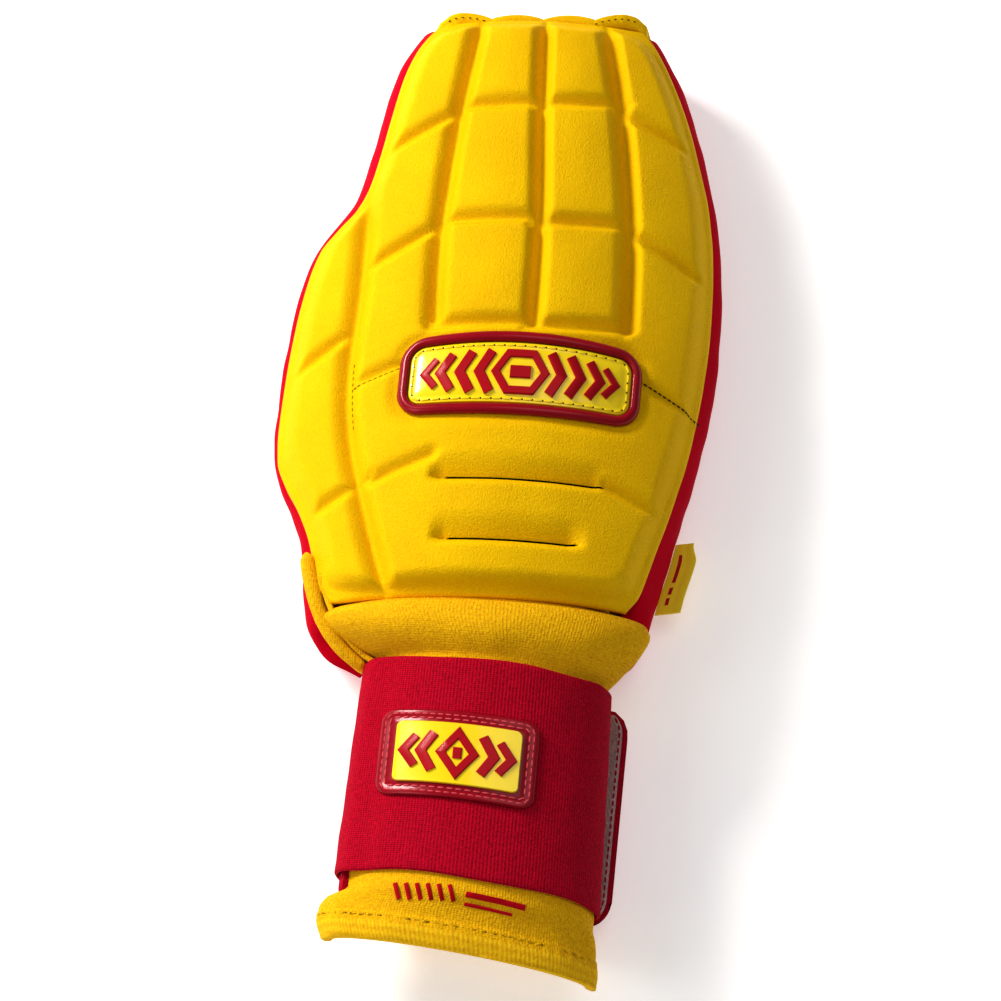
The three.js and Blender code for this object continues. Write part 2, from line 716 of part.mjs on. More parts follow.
// A point round the wrist at a share of the strap's width, off the sleeve by a height
function wristPoint(share, degrees, off) {
  const oval = wristOval(share);
  const angle = radians(degrees);
  const x = (oval.left + oval.right) / 2 + ((oval.right - oval.left) / 2 + off) * Math.cos(angle);
  const z = (oval.low + oval.high) / 2 + ((oval.high - oval.low) / 2 + off) * Math.sin(angle);
  return new THREE.Vector3(x, oval.y + oval.lean * x, z);
}

const lap = strapThickness + clearance;

// Height of the strap's inner face off the sleeve: it climbs onto its own first end after one turn
function strapRise(degrees) {
  const afterStart = degrees - strapStartAngle;
  return clearance + lap * smooth(afterStart, 338, 356);
}

// How far the strap's tail reaches at a share of the strap's width, with its corners rounded off
function tailReach(share) {
  const fromEdge = Math.min(share, 1 - share) * strapWidth;
  const over = Math.max(0, tailRound - fromEdge);
  return tailLength - tailLean * share - (tailRound - Math.sqrt(Math.max(0, tailRound ** 2 - over ** 2)));
}

// A point of the tail, which leaves the wrist and bends away from it: at a distance along the tail
function tailPoint(share, distance, off) {
  const from = wristPoint(share, strapLeaveAngle, 0);
  const before = wristPoint(share, strapLeaveAngle - 3, 0);
  const along = from.clone().sub(before).setY(0).normalize();
  const away = new THREE.Vector3(along.z, 0, -along.x);
  const turn = distance / tailBend;
  return from
    .addScaledVector(along, (tailBend - off) * Math.sin(turn))
    .addScaledVector(away, tailBend - (tailBend - off) * Math.cos(turn));
}

function strap() {
  const shares = [0, 0.06, 0.14, 0.3, 0.5, 0.7, 0.86, 0.94, 1];
  const turn = strapLeaveAngle - strapStartAngle;
  const face = (off) => [
    ...steps(52).map((t) => {
      const degrees = strapStartAngle + t * turn;
      const shift = -startShift * (1 - smooth(degrees, strapStartAngle + 20, strapStartAngle + 180));
      return shares.map((share) => {
        const point = wristPoint(share, degrees, strapRise(degrees) + off);
        point.y += shift;
        return point;
      });
    }),
    ...[0.35, 0.7, 1].map((t) => {
      return shares.map((share) => tailPoint(share, t * tailReach(share), strapRise(strapLeaveAngle) + off));
    }),
  ];
  return slab(face(strapThickness), face(0));
}

// The grip patch on the inner face of the tail
function gripPatch() {
  const shares = steps(8).map((t) => lerp(gripMargin, strapWidth - gripMargin, t) / strapWidth);
  const face = (off) =>
    [0, 0.5, 1].map((t) => {
      return shares.map((share) => {
        const far = tailReach(share) - gripMargin;
        return tailPoint(share, lerp(gripStart, far, t), strapRise(strapLeaveAngle) - clearance - off);
      });
    });
  return slab(face(0), face(gripThickness));
}

// Badge on the strap: a base plate and an inner plate, bent over the back of the wrist

function strapPlate(width, height, corner, low, high) {
  const layer = (off) =>
    badgeStops(width, corner, 6).map((x) => {
      const half = badgeHalf(x, width, height, corner);
      return steps(1).map((t) => {
        const share = strapBadgePlace + lerp(half, -half, t) / strapWidth;
        const oval = wristOval(share);
        const centre = (oval.left + oval.right) / 2;
        const degrees = THREE.MathUtils.radToDeg(
          Math.acos((x + strapBadgeShift - centre) / ((oval.right - oval.left) / 2 + off)),
        );
        return wristPoint(share, degrees, clearance + strapThickness + off);
      });
    });
  return slab(layer(high), layer(low));
}

const strapBadge = () =>
  strapPlate(strapBadgeWidth, strapBadgeHeight, strapBadgeCorner, clearance, clearance + strapBadgeThickness);

function strapBadgePlate() {
  const seat = 2 * clearance + strapBadgeThickness;
  return strapPlate(strapPlateWidth, strapPlateHeight, strapPlateCorner, seat, seat + strapPlateThickness);
}

// Side label: a folded tab sewn into the outer wall's lower seam
function sideLabel() {
  const layer = (z) =>
    steps(4).map((t) => {
      const y = labelPlace + (t - 0.5) * labelLength;
      const near = edge.palmOuter(y) + wallBulge / 4 + clearance;
      const reach = labelReach - labelChamfer * smooth(t, 0.7, 1);
      return [near, near + reach].map((x) => {
        const slant = labelSlant * (x - near);
        return new THREE.Vector3(x, y + edgeLean * x + slant, z);
      });
    });
  return slab(layer(labelHeight + labelThickness), layer(labelHeight));
}

// Materials

const finish = (color, roughness) => new THREE.MeshStandardMaterial({ color, roughness, metalness: 0 });
const padFabric = finish(0xf7d100, 0.75);
const neoprene = finish(0xf2c526, 0.85);
const redFabric = finish(0xc4001f, 0.55);
const redElastic = finish(0xb8001c, 0.85);
const redGloss = finish(0xb00020, 0.25);
const yellowGloss = finish(0xffe500, 0.3);
const gripGrey = finish(0x8a6a6c, 0.95);

const pieces = {
  back_pad: [backPad(), padFabric],
  badge_border: [badgeRing(), redGloss],
  badge_plate: [badgeField(), yellowGloss],
  palm_pad: [palmPad(), padFabric],
  side_wall_thumb: [thumbWall(), redFabric],
  side_wall_outer: [outerWall(), redFabric],
  fingertip_wall: [tipWall(), padFabric],
  sleeve: [sleeve(), neoprene],
  thumb_welt: [welt(), neoprene],
  wrist_strap: [strap(), redElastic],
  grip_patch: [gripPatch(), gripGrey],
  strap_badge: [strapBadge(), redGloss],
  strap_badge_plate: [strapBadgePlate(), yellowGloss],
  side_label: [sideLabel(), padFabric],
};

// The origin is on the surface that the mitt lies on, under the middle of its box
const mitt = new THREE.Group();
for (const [name, [geometry, material]] of Object.entries(pieces)) {
  const mesh = new THREE.Mesh(geometry, material);
  mesh.name = name;
  mitt.add(mesh);
}
const box = new THREE.Box3().setFromObject(mitt);
const middle = box.getCenter(new THREE.Vector3());
mitt.position.set(-middle.x, -middle.y, -box.min.z);

export default new THREE.Group().add(mitt);
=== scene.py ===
# A sliding mitt lying on its palm, in metres: +Z up, +Y towards the fingertips.
import math
import bmesh
import bpy
import numpy as np
from mathutils import Matrix, Vector


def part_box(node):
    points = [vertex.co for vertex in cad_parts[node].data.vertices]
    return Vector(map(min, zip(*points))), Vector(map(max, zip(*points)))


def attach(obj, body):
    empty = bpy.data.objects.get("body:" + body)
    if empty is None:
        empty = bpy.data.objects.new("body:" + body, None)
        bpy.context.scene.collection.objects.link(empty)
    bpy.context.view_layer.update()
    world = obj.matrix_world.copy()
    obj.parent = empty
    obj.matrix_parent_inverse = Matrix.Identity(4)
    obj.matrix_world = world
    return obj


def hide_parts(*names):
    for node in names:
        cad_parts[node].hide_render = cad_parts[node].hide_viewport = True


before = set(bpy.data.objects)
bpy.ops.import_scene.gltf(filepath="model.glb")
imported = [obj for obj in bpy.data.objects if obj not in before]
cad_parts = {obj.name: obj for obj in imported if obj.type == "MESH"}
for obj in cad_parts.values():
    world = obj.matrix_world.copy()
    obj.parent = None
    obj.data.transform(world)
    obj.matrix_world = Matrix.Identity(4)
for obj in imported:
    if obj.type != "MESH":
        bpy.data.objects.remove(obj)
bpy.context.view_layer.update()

# Sizes are in millimetres, in the same places as in the part

metre = 1000

# Back pad: a moulded sheet with raised cells, bent over the back of the hand
pad_length = 213
pad_width = 141
crown_height = 60  # highest point of the back above the surface that the mitt lies on
wrist_dip = 2  # the crown is this much lower at the wrist edge
tip_drop = 13  # and this much lower at the fingertips
dome_radius = 97  # bend across the hand
edge_lean = 0.05  # the cross lines of the pad rise this much for each unit towards the outer side
flange_thickness = 4
flange_width = 2.4
cell_height = 6
shoulder_width = 3
groove_floor = 1.6
crisp_reach = 0.4  # a groove's wall on its crisp side ends this far past its width
soft_reach = 3

# Flex slits near the wrist, each at the bottom of a dent
slit_half = 0.3  # half of its width
dent_depth = 4.2
dent_slope = 7.5
dent_lip = 1.6

# Badge on the back pad
badge_width = 80
badge_height = 26.5
badge_arch = 3
badge_corner = 8
badge_border = 3.8
badge_thickness = 2.6
badge_sink = 1.4
badge_plate_thickness = 1.5

# Palm pad, side walls and fingertip wall
palm_thickness = 8
palm_round = 3.5
heel_length = 16.6  # the palm pad runs this far past the back pad's wrist edge
heel_rise = 7  # height of the side walls there
heel_lean = 0.35
wall_thickness = 3
wall_bulge = 1.5
tip_thickness = 3  # the fingertip wall stands outside the back pad's rim
tip_reach = 2  # how far the palm pad carries it past the back pad
tip_level = 0.2  # its top is as high as the back pad's rim is this share of pad_width from the middle
tip_lean = 0.03  # it stands out further towards the outer side
lobe_depth = 1.5  # and further in the middle of each finger
seam_gap = 0.5

# Neoprene sleeve
sleeve_wall = 3
sleeve_inside = 15  # how far it reaches in under the back pad
sleeve_tuck = 1.6  # how far its crown lies under the back pad there
sleeve_narrowing = 0.93  # its width there, as a share of the back pad's
wrist_width = 76.4
wrist_height = 45.8
forearm_width = 81
forearm_height = 47
wrist_centre = 4  # across, from the middle of the back pad
forearm_centre = 4
cuff_length = 22.0  # from the strap to the rim
rim_cut_back = 12.5  # the palm side of the rim ends this much sooner
rim_lean = -0.1
hem_width = 8
hem_thickness = 0.7
welt_radius = 2.6
welt_top = 0.095  # how far up the side of the back pad the welt goes, as a share of pad_length

# Elastic strap, wound one and a half times round the wrist
strap_width = 73
strap_thickness = 1.6
strap_gap = 5  # from the palm pad's heel
strap_lean = -0.035  # of its edge by the hand
strap_end_lean = -0.07  # of its edge by the rim
strap_start_angle = 164  # degrees round the wrist, 0 on the outer side and 90 on the back of the hand
strap_leave_angle = 672
start_shift = 2.2  # the first end lies this much nearer the rim
tail_length = 22
tail_round = 9
tail_lean = 2.5  # its end is this much shorter at the edge by the rim
tail_bend = 34  # radius of its bend away from the wrist
grip_thickness = 0.9
grip_start = 7  # from where the tail leaves the wrist
grip_margin = 2

# Badge on the strap
strap_badge_width = 49
strap_badge_height = 29
strap_badge_corner = 4.5
strap_badge_thickness = 1.2
strap_badge_shift = -3.2  # across, from the middle of the back pad
strap_badge_place = 0.46  # along the strap's width, from its edge by the hand
strap_plate_width = 39
strap_plate_height = 20.5
strap_plate_corner = 2
strap_plate_thickness = 0.8

# Side label
label_length = 25
label_reach = 8.5
label_thickness = 1.2
label_place = 21  # along the pad
label_height = 11
label_slant = 0.16
label_chamfer = 2.4  # its corner towards the fingertips is this much shorter

clearance = 0.3  # between pieces that lie on each other
thread_tip_share = 0.05  # of a stitch's width, at its ends
wrist_low = clearance + 2 * (strap_thickness + clearance)
strap_top = -(heel_length + strap_gap)
strap_end = strap_top - strap_width
sheet_bottom = cell_height + flange_thickness
slit_floor = sheet_bottom - 0.6


def table(names, *rows):
    """Rows of values under the names of their columns."""
    return [dict(zip(names.split(), row)) for row in rows]


# Stitches: the way from one to the next, and the size of each
seams = {row["name"]: row for row in table(
    "name pitch length width height",
    ("pad_cross", 2.0, 1.6, 0.5, 0.45),
    ("pad_long", 2.2, 1.3, 0.4, 0.45),
    ("plate_edge", 3.4, 2.9, 0.75, 0.5),
    ("plate_hole", 3.4, 0.5, 0.6, 0.25),
    ("palm", 3.4, 2.4, 0.5, 0.5),
    ("fingertip_hole", 2.4, 0.9, 0.4, 0.3),
    ("hem", 3.1, 2.4, 0.7, 0.45),
    ("strap_badge_inner", 2.9, 2.2, 0.6, 0.5),
    ("strap_badge_outer", 2.6, 2.0, 0.5, 0.4),
)}

# Outline of the back pad and, below it, of the palm pad: lengths are shares of pad_length,
# widths of pad_width
outline = table(
    "along pad_thumb pad_outer palm_thumb palm_outer",
    (0, -0.355, 0.326, -0.422, 0.379),
    (0.028, -0.387, 0.353, -0.427, 0.389),
    (0.065, -0.404, 0.369, -0.433, 0.399),
    (0.112, -0.426, 0.387, -0.441, 0.416),
    (0.159, -0.457, 0.406, -0.461, 0.429),
    (0.206, -0.496, 0.422, -0.495, 0.443),
    (0.252, -0.523, 0.437, -0.525, 0.46),
    (0.308, -0.53, 0.45, -0.538, 0.472),
    (0.393, -0.527, 0.464, -0.538, 0.491),
    (0.486, -0.517, 0.471, -0.531, 0.496),
    (0.561, -0.5, 0.469, -0.519, 0.494),
    (0.612, -0.477, 0.464, -0.502, 0.487),
    (0.645, -0.438, 0.459, -0.481, 0.482),
    (0.673, -0.399, 0.452, -0.452, 0.475),
    (0.71, -0.373, 0.442, -0.414, 0.465),
    (0.766, -0.355, 0.418, -0.392, 0.443),
    (0.841, -0.337, 0.382, -0.373, 0.411),
    (0.907, -0.319, 0.34, -0.355, 0.374),
    (0.953, -0.296, 0.304, -0.338, 0.34),
    (0.986, -0.264, 0.272, -0.306, 0.302),
    (1, -0.24, 0.25, -0.275, 0.281),
)

# The palm pad's heel: lengths are shares of heel_length past the back pad, widths of pad_width,
# and the height of the side wall that ends there is a share of heel_rise
heel = table(
    "past thumb outer wall",
    (0.3, -0.396, 0.369, 1),
    (0.68, -0.352, 0.337, 0.8),
    (0.92, -0.28, 0.275, 0.35),
    (1, -0.215, 0.215, 0),
)

# Long grooves between the finger columns: places are shares of pad_width and pad_length
long_grooves = [
    {
        "width": 7,
        "course": table("across along", (-0.135, 1.03), (-0.169, 0.816), (-0.185, 0.61), (-0.177, 0.452)),
    },
    {
        "width": 6,
        "course": table("across along", (0.012, 1.03), (0.028, 0.828), (0.05, 0.622), (0.056, 0.447)),
    },
    {
        "width": 7,
        "course": table("across along", (0.152, 1.03), (0.217, 0.837), (0.262, 0.629), (0.277, 0.456)),
    },
    {
        "width": 8,
        "course": table(
            "across along",
            (-0.368, 0.7), (-0.364, 0.52), (-0.37, 0.38), (-0.354, 0.275),
            (-0.314, 0.173), (-0.257, 0.056), (-0.214, -0.02),
        ),
    },
]

# Cross grooves, each straight between two long grooves or out to the edge: depths are shares of cell_height
cross_grooves = table(
    "from_across from_along to_across to_along width depth",
    (-0.345, 0.755, -0.17, 0.819, 4.5, 0.6),
    (-0.36, 0.547, -0.184, 0.614, 4.5, 0.6),
    (-0.365, 0.347, -0.22, 0.38, 4, 0.5),
    (-0.29, 0.18, -0.165, 0.214, 4.5, 0.5),
    (-0.56, 0.36, -0.375, 0.44, 4.5, 0.6),
    (-0.49, 0.112, -0.31, 0.182, 4.5, 0.6),
    (-0.165, 0.826, 0.018, 0.834, 4.5, 0.6),
    (-0.183, 0.62, 0.04, 0.626, 4.5, 0.6),
    (-0.175, 0.437, 0.047, 0.443, 4.5, 0.6),
    (0.018, 0.832, 0.21, 0.845, 4.5, 0.6),
    (0.04, 0.618, 0.25, 0.628, 4.5, 0.6),
    (0.048, 0.437, 0.266, 0.449, 4.5, 0.6),
    (0.208, 0.831, 0.4, 0.783, 4.5, 0.6),
    (0.255, 0.62, 0.48, 0.551, 4.5, 0.6),
    (0.3, 0.369, 0.47, 0.322, 3.5, 0.5),
    (0.265, 0.182, 0.42, 0.144, 4.5, 0.5),
)

# Flex slits: the place of each, from thumb side to outer side
slits = table(
    "thumb outer along",
    (-0.144, 0.256, 0.183),
    (-0.124, 0.21, 0.084),
)

# The sleeve's collar between the back pad and the strap: lengths are shares of the way to the strap,
# widths of pad_width and heights of crown_height
collar = table(
    "past thumb outer high",
    (0.035, -0.33, 0.312, 0.778),
    (0.12, -0.362, 0.375, 0.868),
    (0.24, -0.38, 0.391, 0.9),
    (0.4, -0.366, 0.379, 0.907),
    (0.6, -0.328, 0.354, 0.888),
    (0.8, -0.28, 0.325, 0.862),
)

# The sleeve past the strap: lengths are shares of cuff_length, widths of forearm_width, heights of
# forearm_height, and the palm side is cut back by a share of rim_cut_back
cuff = table(
    "past wider shift low high cut_back",
    (0.2, 1, 0, 0, 1, 0),
    (0.36, 1.075, -0.025, 0.025, 0.95, 0.2),
    (0.59, 1.11, -0.035, 0.05, 0.915, 0.5),
    (0.61, 1.11, -0.035, 0.052, 0.913, 0.52),
    (1, 1.09, -0.02, 0.08, 0.87, 1),
)

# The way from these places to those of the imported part
pad_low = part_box("back_pad")[0]
offset = np.array([
    pad_low[0] * metre - pad_width * min(row["pad_thumb"] for row in outline),
    pad_low[1] * metre - pad_width * edge_lean * outline[0]["pad_thumb"],
    0.0,
])


# Numbers and places

def lerp(a, b, t):
    return a + (b - a) * t


def smooth(s, low, high):
    t = np.clip((s - low) / (high - low), 0, 1)
    return t * t * (3 - 2 * t)


def bell(distance, width):
    return np.exp(-((distance / width) ** 2))


def unit(v):
    return v / np.maximum(np.linalg.norm(v, axis=-1, keepdims=True), 1e-9)


def together(*values):
    """Numbers or arrays as arrays of one shape."""
    return np.broadcast_arrays(*[np.asarray(value, float) for value in values])


def travelled(points):
    """The way gone along a path, up to each of its points."""
    return np.concatenate([[0], np.cumsum(np.linalg.norm(np.diff(points, axis=0), axis=1))])


def sampled(at, gone, rows):
    """Rows of numbers read at other places of their path."""
    return np.stack([np.interp(at, gone, column) for column in rows.T], -1)


def soften(course, times):
    """Evens out an open course and keeps its ends."""
    for _ in range(times):
        course[1:-1] = (course[:-2] + 2 * course[1:-1] + course[2:]) / 4
    return course


def track(rows, place, column):
    """Reads one column of a table at any place: cubic between the rows, and never past them."""
    at = np.array([row[place] for row in rows], float)
    value = np.array([row[column] for row in rows], float)
    steep = np.diff(value) / np.diff(at)
    total = steep[:-1] + steep[1:]
    product = steep[:-1] * steep[1:]
    between = np.where(product > 0, 2 * product / np.where(total == 0, 1, total), 0)
    slope = np.concatenate([steep[:1], between, steep[-1:]])

    def read(s):
        s = np.clip(np.asarray(s, float), at[0], at[-1])
        i = np.clip(np.searchsorted(at, s, side="right") - 1, 0, len(at) - 2)
        span = at[i + 1] - at[i]
        t = (s - at[i]) / span
        rise = value[i + 1] - value[i]
        a = slope[i] * span
        b = slope[i + 1] * span
        return value[i] + t * (a + t * (3 * rise - 2 * a - b + t * (a + b - 2 * rise)))

    return read


def edge_reader(column):
    read = track(outline, "along", column)
    return lambda y: pad_width * read(np.asarray(y) / pad_length)


pad_thumb = edge_reader("pad_thumb")
pad_outer = edge_reader("pad_outer")
palm_thumb = edge_reader("palm_thumb")
palm_outer = edge_reader("palm_outer")


def dome(x, y):
    """Height of the pad's smooth top."""
    share = np.clip(y / pad_length, 0, 1)
    return crown_height - wrist_dip * (1 - share) ** 4 - tip_drop * share ** 2.2 - x * x / (2 * dome_radius)


def leaned(x, y, z):
    """A point on a cross line that leans as the pad's do."""
    x, y, z = together(x, y, z)
    return np.stack([x, y + edge_lean * x, z], -1)


def pad_point(x, y, rise):
    return leaned(x, y, dome(x, y) + rise)


def ripple(x, y, size, seed):
    """Soft uneven waves between about -1 and 1, with one size of wave in millimetres."""
    total = np.zeros(np.broadcast(x, y).shape)
    for k in range(6):
        turn = seed * 1.7 + k * 2.399
        pace = 2 * math.pi / (size * (0.7 + 0.13 * k))
        total = total + np.sin(pace * (x * math.cos(turn) + y * math.sin(turn)) + seed + 1.3 * k * k)
    return total / 3


# Meshes

def grid_faces(rows, columns, wrap=False):
    row, j = np.meshgrid(np.arange(rows - 1), np.arange(columns if wrap else columns - 1), indexing="ij")
    k = (j + 1) % columns
    low = row * columns
    high = low + columns
    return np.stack([low + j, low + k, high + k, high + j], -1).reshape(-1, 4)


class Shape:
    """Points and faces of one piece in the mitt's millimetres, with a flat place for each point."""

    def __init__(self):
        self.points = []
        self.flats = []
        self.faces = []
        self.which = []
        self.count = 0

    def add(self, points, faces, material=0, flat=None):
        points = np.asarray(points, float).reshape(-1, 3)
        self.points.append(points)
        self.flats.append(points[:, :2] if flat is None else np.asarray(flat, float).reshape(-1, 2))
        self.faces += [[int(k) + self.count for k in face] for face in faces]
        self.which += [material] * len(faces)
        self.count += len(points)

    def build(self, name, look_names, node, crease=None):
        """Makes one piece of the mitt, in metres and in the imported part's places."""
        mesh = bpy.data.meshes.new(name)
        placed = (np.concatenate(self.points) + offset) / metre
        mesh.from_pydata(placed.tolist(), [], self.faces)
        turned = bmesh.new()
        turned.from_mesh(mesh)
        bmesh.ops.recalc_face_normals(turned, faces=turned.faces)
        turned.to_mesh(mesh)
        turned.free()
        mesh.polygons.foreach_set("material_index", self.which)
        mesh.polygons.foreach_set("use_smooth", [True] * len(self.faces))
        corners = np.empty(len(mesh.loops), np.int32)
        mesh.loops.foreach_get("vertex_index", corners)
        layer = mesh.uv_layers.new(name="flat")
        layer.data.foreach_set("uv", np.concatenate(self.flats)[corners].astype(np.float32).ravel())
        if crease is not None:
            mesh.set_sharp_from_angle(angle=math.radians(crease))
        for look_name in look_names.split():
            mesh.materials.append(looks[look_name])
        piece = bpy.data.objects.new(name, mesh)
        bpy.context.scene.collection.objects.link(piece)
        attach(piece, "root")
        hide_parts(node)
        return piece


def loft(shape, rings, material=0, flat=None, caps=True):
    """A tube through closed rings of points, with a face on each end."""
    count, sides = rings.shape[:2]
    faces = grid_faces(count, sides, True).tolist()
    if caps:
        faces += [list(range(sides))[::-1], list(range((count - 1) * sides, count * sides))]
    shape.add(rings, faces, material, flat)


def dense(path, step, closed=False):
    """The same path with places no further apart than a step."""
    path = np.asarray(path, float)
    ends = np.concatenate([path, path[:1]]) if closed else path
    made = []
    for a, b in zip(ends[:-1], ends[1:]):
        count = max(1, int(math.ceil(np.linalg.norm(b - a) / step)))
        made += [lerp(a, b, k / count) for k in range(count)]
    if not closed:
        made.append(ends[-1])
    return np.array(made)


def ribbon(shape, path, half, low, high, place, material=0, closed=False, bevel=0.3):
    """A raised bar along a path of flat places, with bevelled edges."""
    path = dense(path, 1.5, closed)
    before = np.roll(path, 1, 0)
    after = np.roll(path, -1, 0)
    if not closed:
        before[0] = 2 * path[0] - path[1]
        after[-1] = 2 * path[-1] - path[-2]
    first = unit(path - before)
    second = unit(after - path)
    normal = np.stack([-first[:, 1], first[:, 0]], -1)
    mitre = normal + np.stack([-second[:, 1], second[:, 0]], -1)
    mitre = mitre / np.maximum((mitre * normal).sum(-1, keepdims=True), 0.3)
    rows = []
    profile = [(-half, low), (-half, high - bevel), (bevel - half, high)]
    profile += [(-across, rise) for across, rise in reversed(profile)]
    for across, rise in profile:
        at = path + mitre * across
        rows.append(place(at[:, 0], at[:, 1], rise))
    rings = np.stack(rows, 1)
    if closed:
        rings = np.concatenate([rings, rings[:1]])
    loft(shape, rings, material, caps=not closed)


def rods(shape, centres, along, up, length, width, height, material=0):
    """A short rounded rod at each centre: a stitch of thread."""
    along = unit(along)
    side = unit(np.cross(up, along))
    up = np.cross(along, side)
    rings = table("along wide", (-1, thread_tip_share), (-0.85, 0.65), (-0.4, 1))
    rings += table("along wide", (0.4, 1), (0.85, 0.65), (1, thread_tip_share))
    turns = np.arange(6) * math.pi / 3
    faces = grid_faces(len(rings), len(turns), True)
    for centre, a, s, u in zip(centres, along, side, up):
        made = []
        for ring in rings:
            middle = centre + a * ring["along"] * length / 2
            for turn in turns:
                out = s * math.cos(turn) * width + u * math.sin(turn) * height
                made.append(middle + out * ring["wide"] / 2)
        shape.add(made, faces, material)


def stitches(shape, path, name, place, rise, material, closed=False, phase=0.5):
    """A row of stitches along a path of flat places."""
    seam = seams[name]
    path = dense(path, 0.7, closed)
    if closed:
        path = np.concatenate([path, path[:1]])
    gone = travelled(place(path[:, 0], path[:, 1], rise))
    count = max(1, int(round(gone[-1] / seam["pitch"])))
    at = (np.arange(count) + phase) * gone[-1] / count

    def reached(step, lift):
        x, y = sampled(np.clip(at + step, 0, gone[-1]), gone, path).T
        return place(x, y, rise + lift)

    centre = reached(0, 0)
    along = reached(0.3, 0) - reached(-0.3, 0)
    up = reached(0, 1) - centre
    rods(shape, centre, along, up, seam["length"], seam["width"], seam["height"], material)


def rounded_loop(width, height, corner, inset):
    """A rounded rectangle drawn in by an inset, as places in order round it."""
    turn_count = 9
    long_count = 30
    short_count = 9
    half = np.array([width / 2 - inset, height / 2 - inset])
    r = min(max(corner - inset, 0.05), half[0], half[1])
    made = []
    for k, sign in enumerate([(1, 1), (-1, 1), (-1, -1), (1, -1)]):
        turn = np.radians(90 * k + np.linspace(0, 90, turn_count))
        made.append(np.array(sign) * (half - r) + r * np.stack([np.cos(turn), np.sin(turn)], -1))
    loop = []
    for k in range(4):
        loop.append(made[k])
        count = long_count if k % 2 == 0 else short_count
        t = np.linspace(0, 1, count + 2)[1:-1, None]
        loop.append(lerp(made[k][-1], made[(k + 1) % 4][0], t))
    return np.concatenate(loop)


def plate(shape, place, width, height, corner, levels, material=0, caps=True):
    """A plate with rounded corners through levels of inset and rise."""
    rings = []
    for inset, rise in levels:
        loop = rounded_loop(width, height, corner, inset)
        rings.append(place(loop[:, 0], loop[:, 1], rise))
    loft(shape, np.stack(rings), material, caps=caps)


# Materials

def shell(name, roughness, sheen, coat, gleam):
    made = bpy.data.materials.new(name)
    made.use_nodes = True
    tree = made.node_tree
    tree.nodes.clear()
    out = tree.nodes.new("ShaderNodeOutputMaterial")
    shader = tree.nodes.new("ShaderNodeBsdfPrincipled")
    tree.links.new(shader.outputs["BSDF"], out.inputs["Surface"])
    shader.inputs["Roughness"].default_value = roughness
    shader.inputs["Sheen Weight"].default_value = sheen
    shader.inputs["Sheen Roughness"].default_value = 0.5
    shader.inputs["Coat Weight"].default_value = coat
    shader.inputs["Coat Roughness"].default_value = 0.08
    shader.inputs["Specular IOR Level"].default_value = gleam
    return made, tree, shader


def node(tree, kind, links=(), **values):
    made = tree.nodes.new(kind)
    for name, value in values.items():
        setattr(made, name, value)
    for key, value in links:
        if hasattr(value, "links"):
            tree.links.new(value, made.inputs[key])
        else:
            made.inputs[key].default_value = value
    return made


def mathing(tree, operation, a, b=0.0):
    return node(tree, "ShaderNodeMath", [(0, a), (1, b)], operation=operation).outputs[0]


def noise(tree, where, scale, detail=2.0, roughness=0.5):
    links = [("Vector", where), ("Scale", scale), ("Detail", detail), ("Roughness", roughness)]
    return node(tree, "ShaderNodeTexNoise", links).outputs["Fac"]


def blended(tree, share, a, b):
    made = node(tree, "ShaderNodeMix", data_type="RGBA")
    tree.links.new(share, made.inputs[0])
    made.inputs[6].default_value = (*a, 1)
    made.inputs[7].default_value = (*b, 1)
    return made.outputs[2]


def finish_up(tree, shader, share, dark, light, height, depth, strength=1.0):
    tree.links.new(blended(tree, share, dark, light), shader.inputs["Base Color"])
    bump = node(tree, "ShaderNodeBump", [("Height", height), ("Strength", strength), ("Distance", depth)])
    tree.links.new(bump.outputs["Normal"], shader.inputs["Normal"])


def mixed(tree, a, a_share, b, b_share):
    return mathing(tree, "ADD", mathing(tree, "MULTIPLY", a, a_share), mathing(tree, "MULTIPLY", b, b_share))


def knit(name, dark, light, grain, depth, roughness, sheen, gleam):
    """A close cloth: fine uneven grain and faint broad patches."""
    made, tree, shader = shell(name, roughness, sheen, 0.0, gleam)
    where = node(tree, "ShaderNodeTexCoord").outputs["Object"]
    fine = noise(tree, where, grain, 3.0, 0.6)
    broad = noise(tree, where, 35.0, 2.0)
    finish_up(tree, shader, mixed(tree, fine, 0.7, broad, 0.5), dark, light, fine, depth)
    return made


def woven(name, dark, light, rib, weave, depth, roughness, lines, speckle, gleam):
    """A woven cloth: ribs across its length and a finer weave, laid out by its own flat places."""
    made, tree, shader = shell(name, roughness, 0.0, 0.0, gleam)
    flat = node(tree, "ShaderNodeUVMap", uv_map="flat").outputs["UV"]
    where = node(tree, "ShaderNodeTexCoord").outputs["Object"]
    parts = node(tree, "ShaderNodeSeparateXYZ", [(0, flat)])
    grain = noise(tree, where, 1100.0, 3.0)

    def wave(way, pitch):
        return mathing(tree, "SINE", mathing(tree, "MULTIPLY", way, 2 * math.pi / pitch))

    across = wave(mathing(tree, "ADD", parts.outputs[0], mathing(tree, "MULTIPLY", grain, 0.5)), rib)
    both = mixed(tree, across, lines, wave(parts.outputs[1], weave), 0.8 * lines)
    level = mathing(tree, "ADD", both, 0.55 - speckle / 2)
    height = mathing(tree, "ADD", level, mathing(tree, "MULTIPLY", grain, speckle))
    finish_up(tree, shader, height, dark, light, height, depth)
    return made


def glossy(name, dark, light, roughness, depth, coat, gleam):
    """Soft glossy plastic with a faint uneven surface."""
    made, tree, shader = shell(name, roughness, 0.0, coat, gleam)
    where = node(tree, "ShaderNodeTexCoord").outputs["Object"]
    broad = noise(tree, where, 90.0, 2.0)
    fine = noise(tree, where, 500.0, 2.0)
    finish_up(tree, shader, mixed(tree, broad, 0.6, fine, 0.3), dark, light, broad, depth, 0.6)
    return made


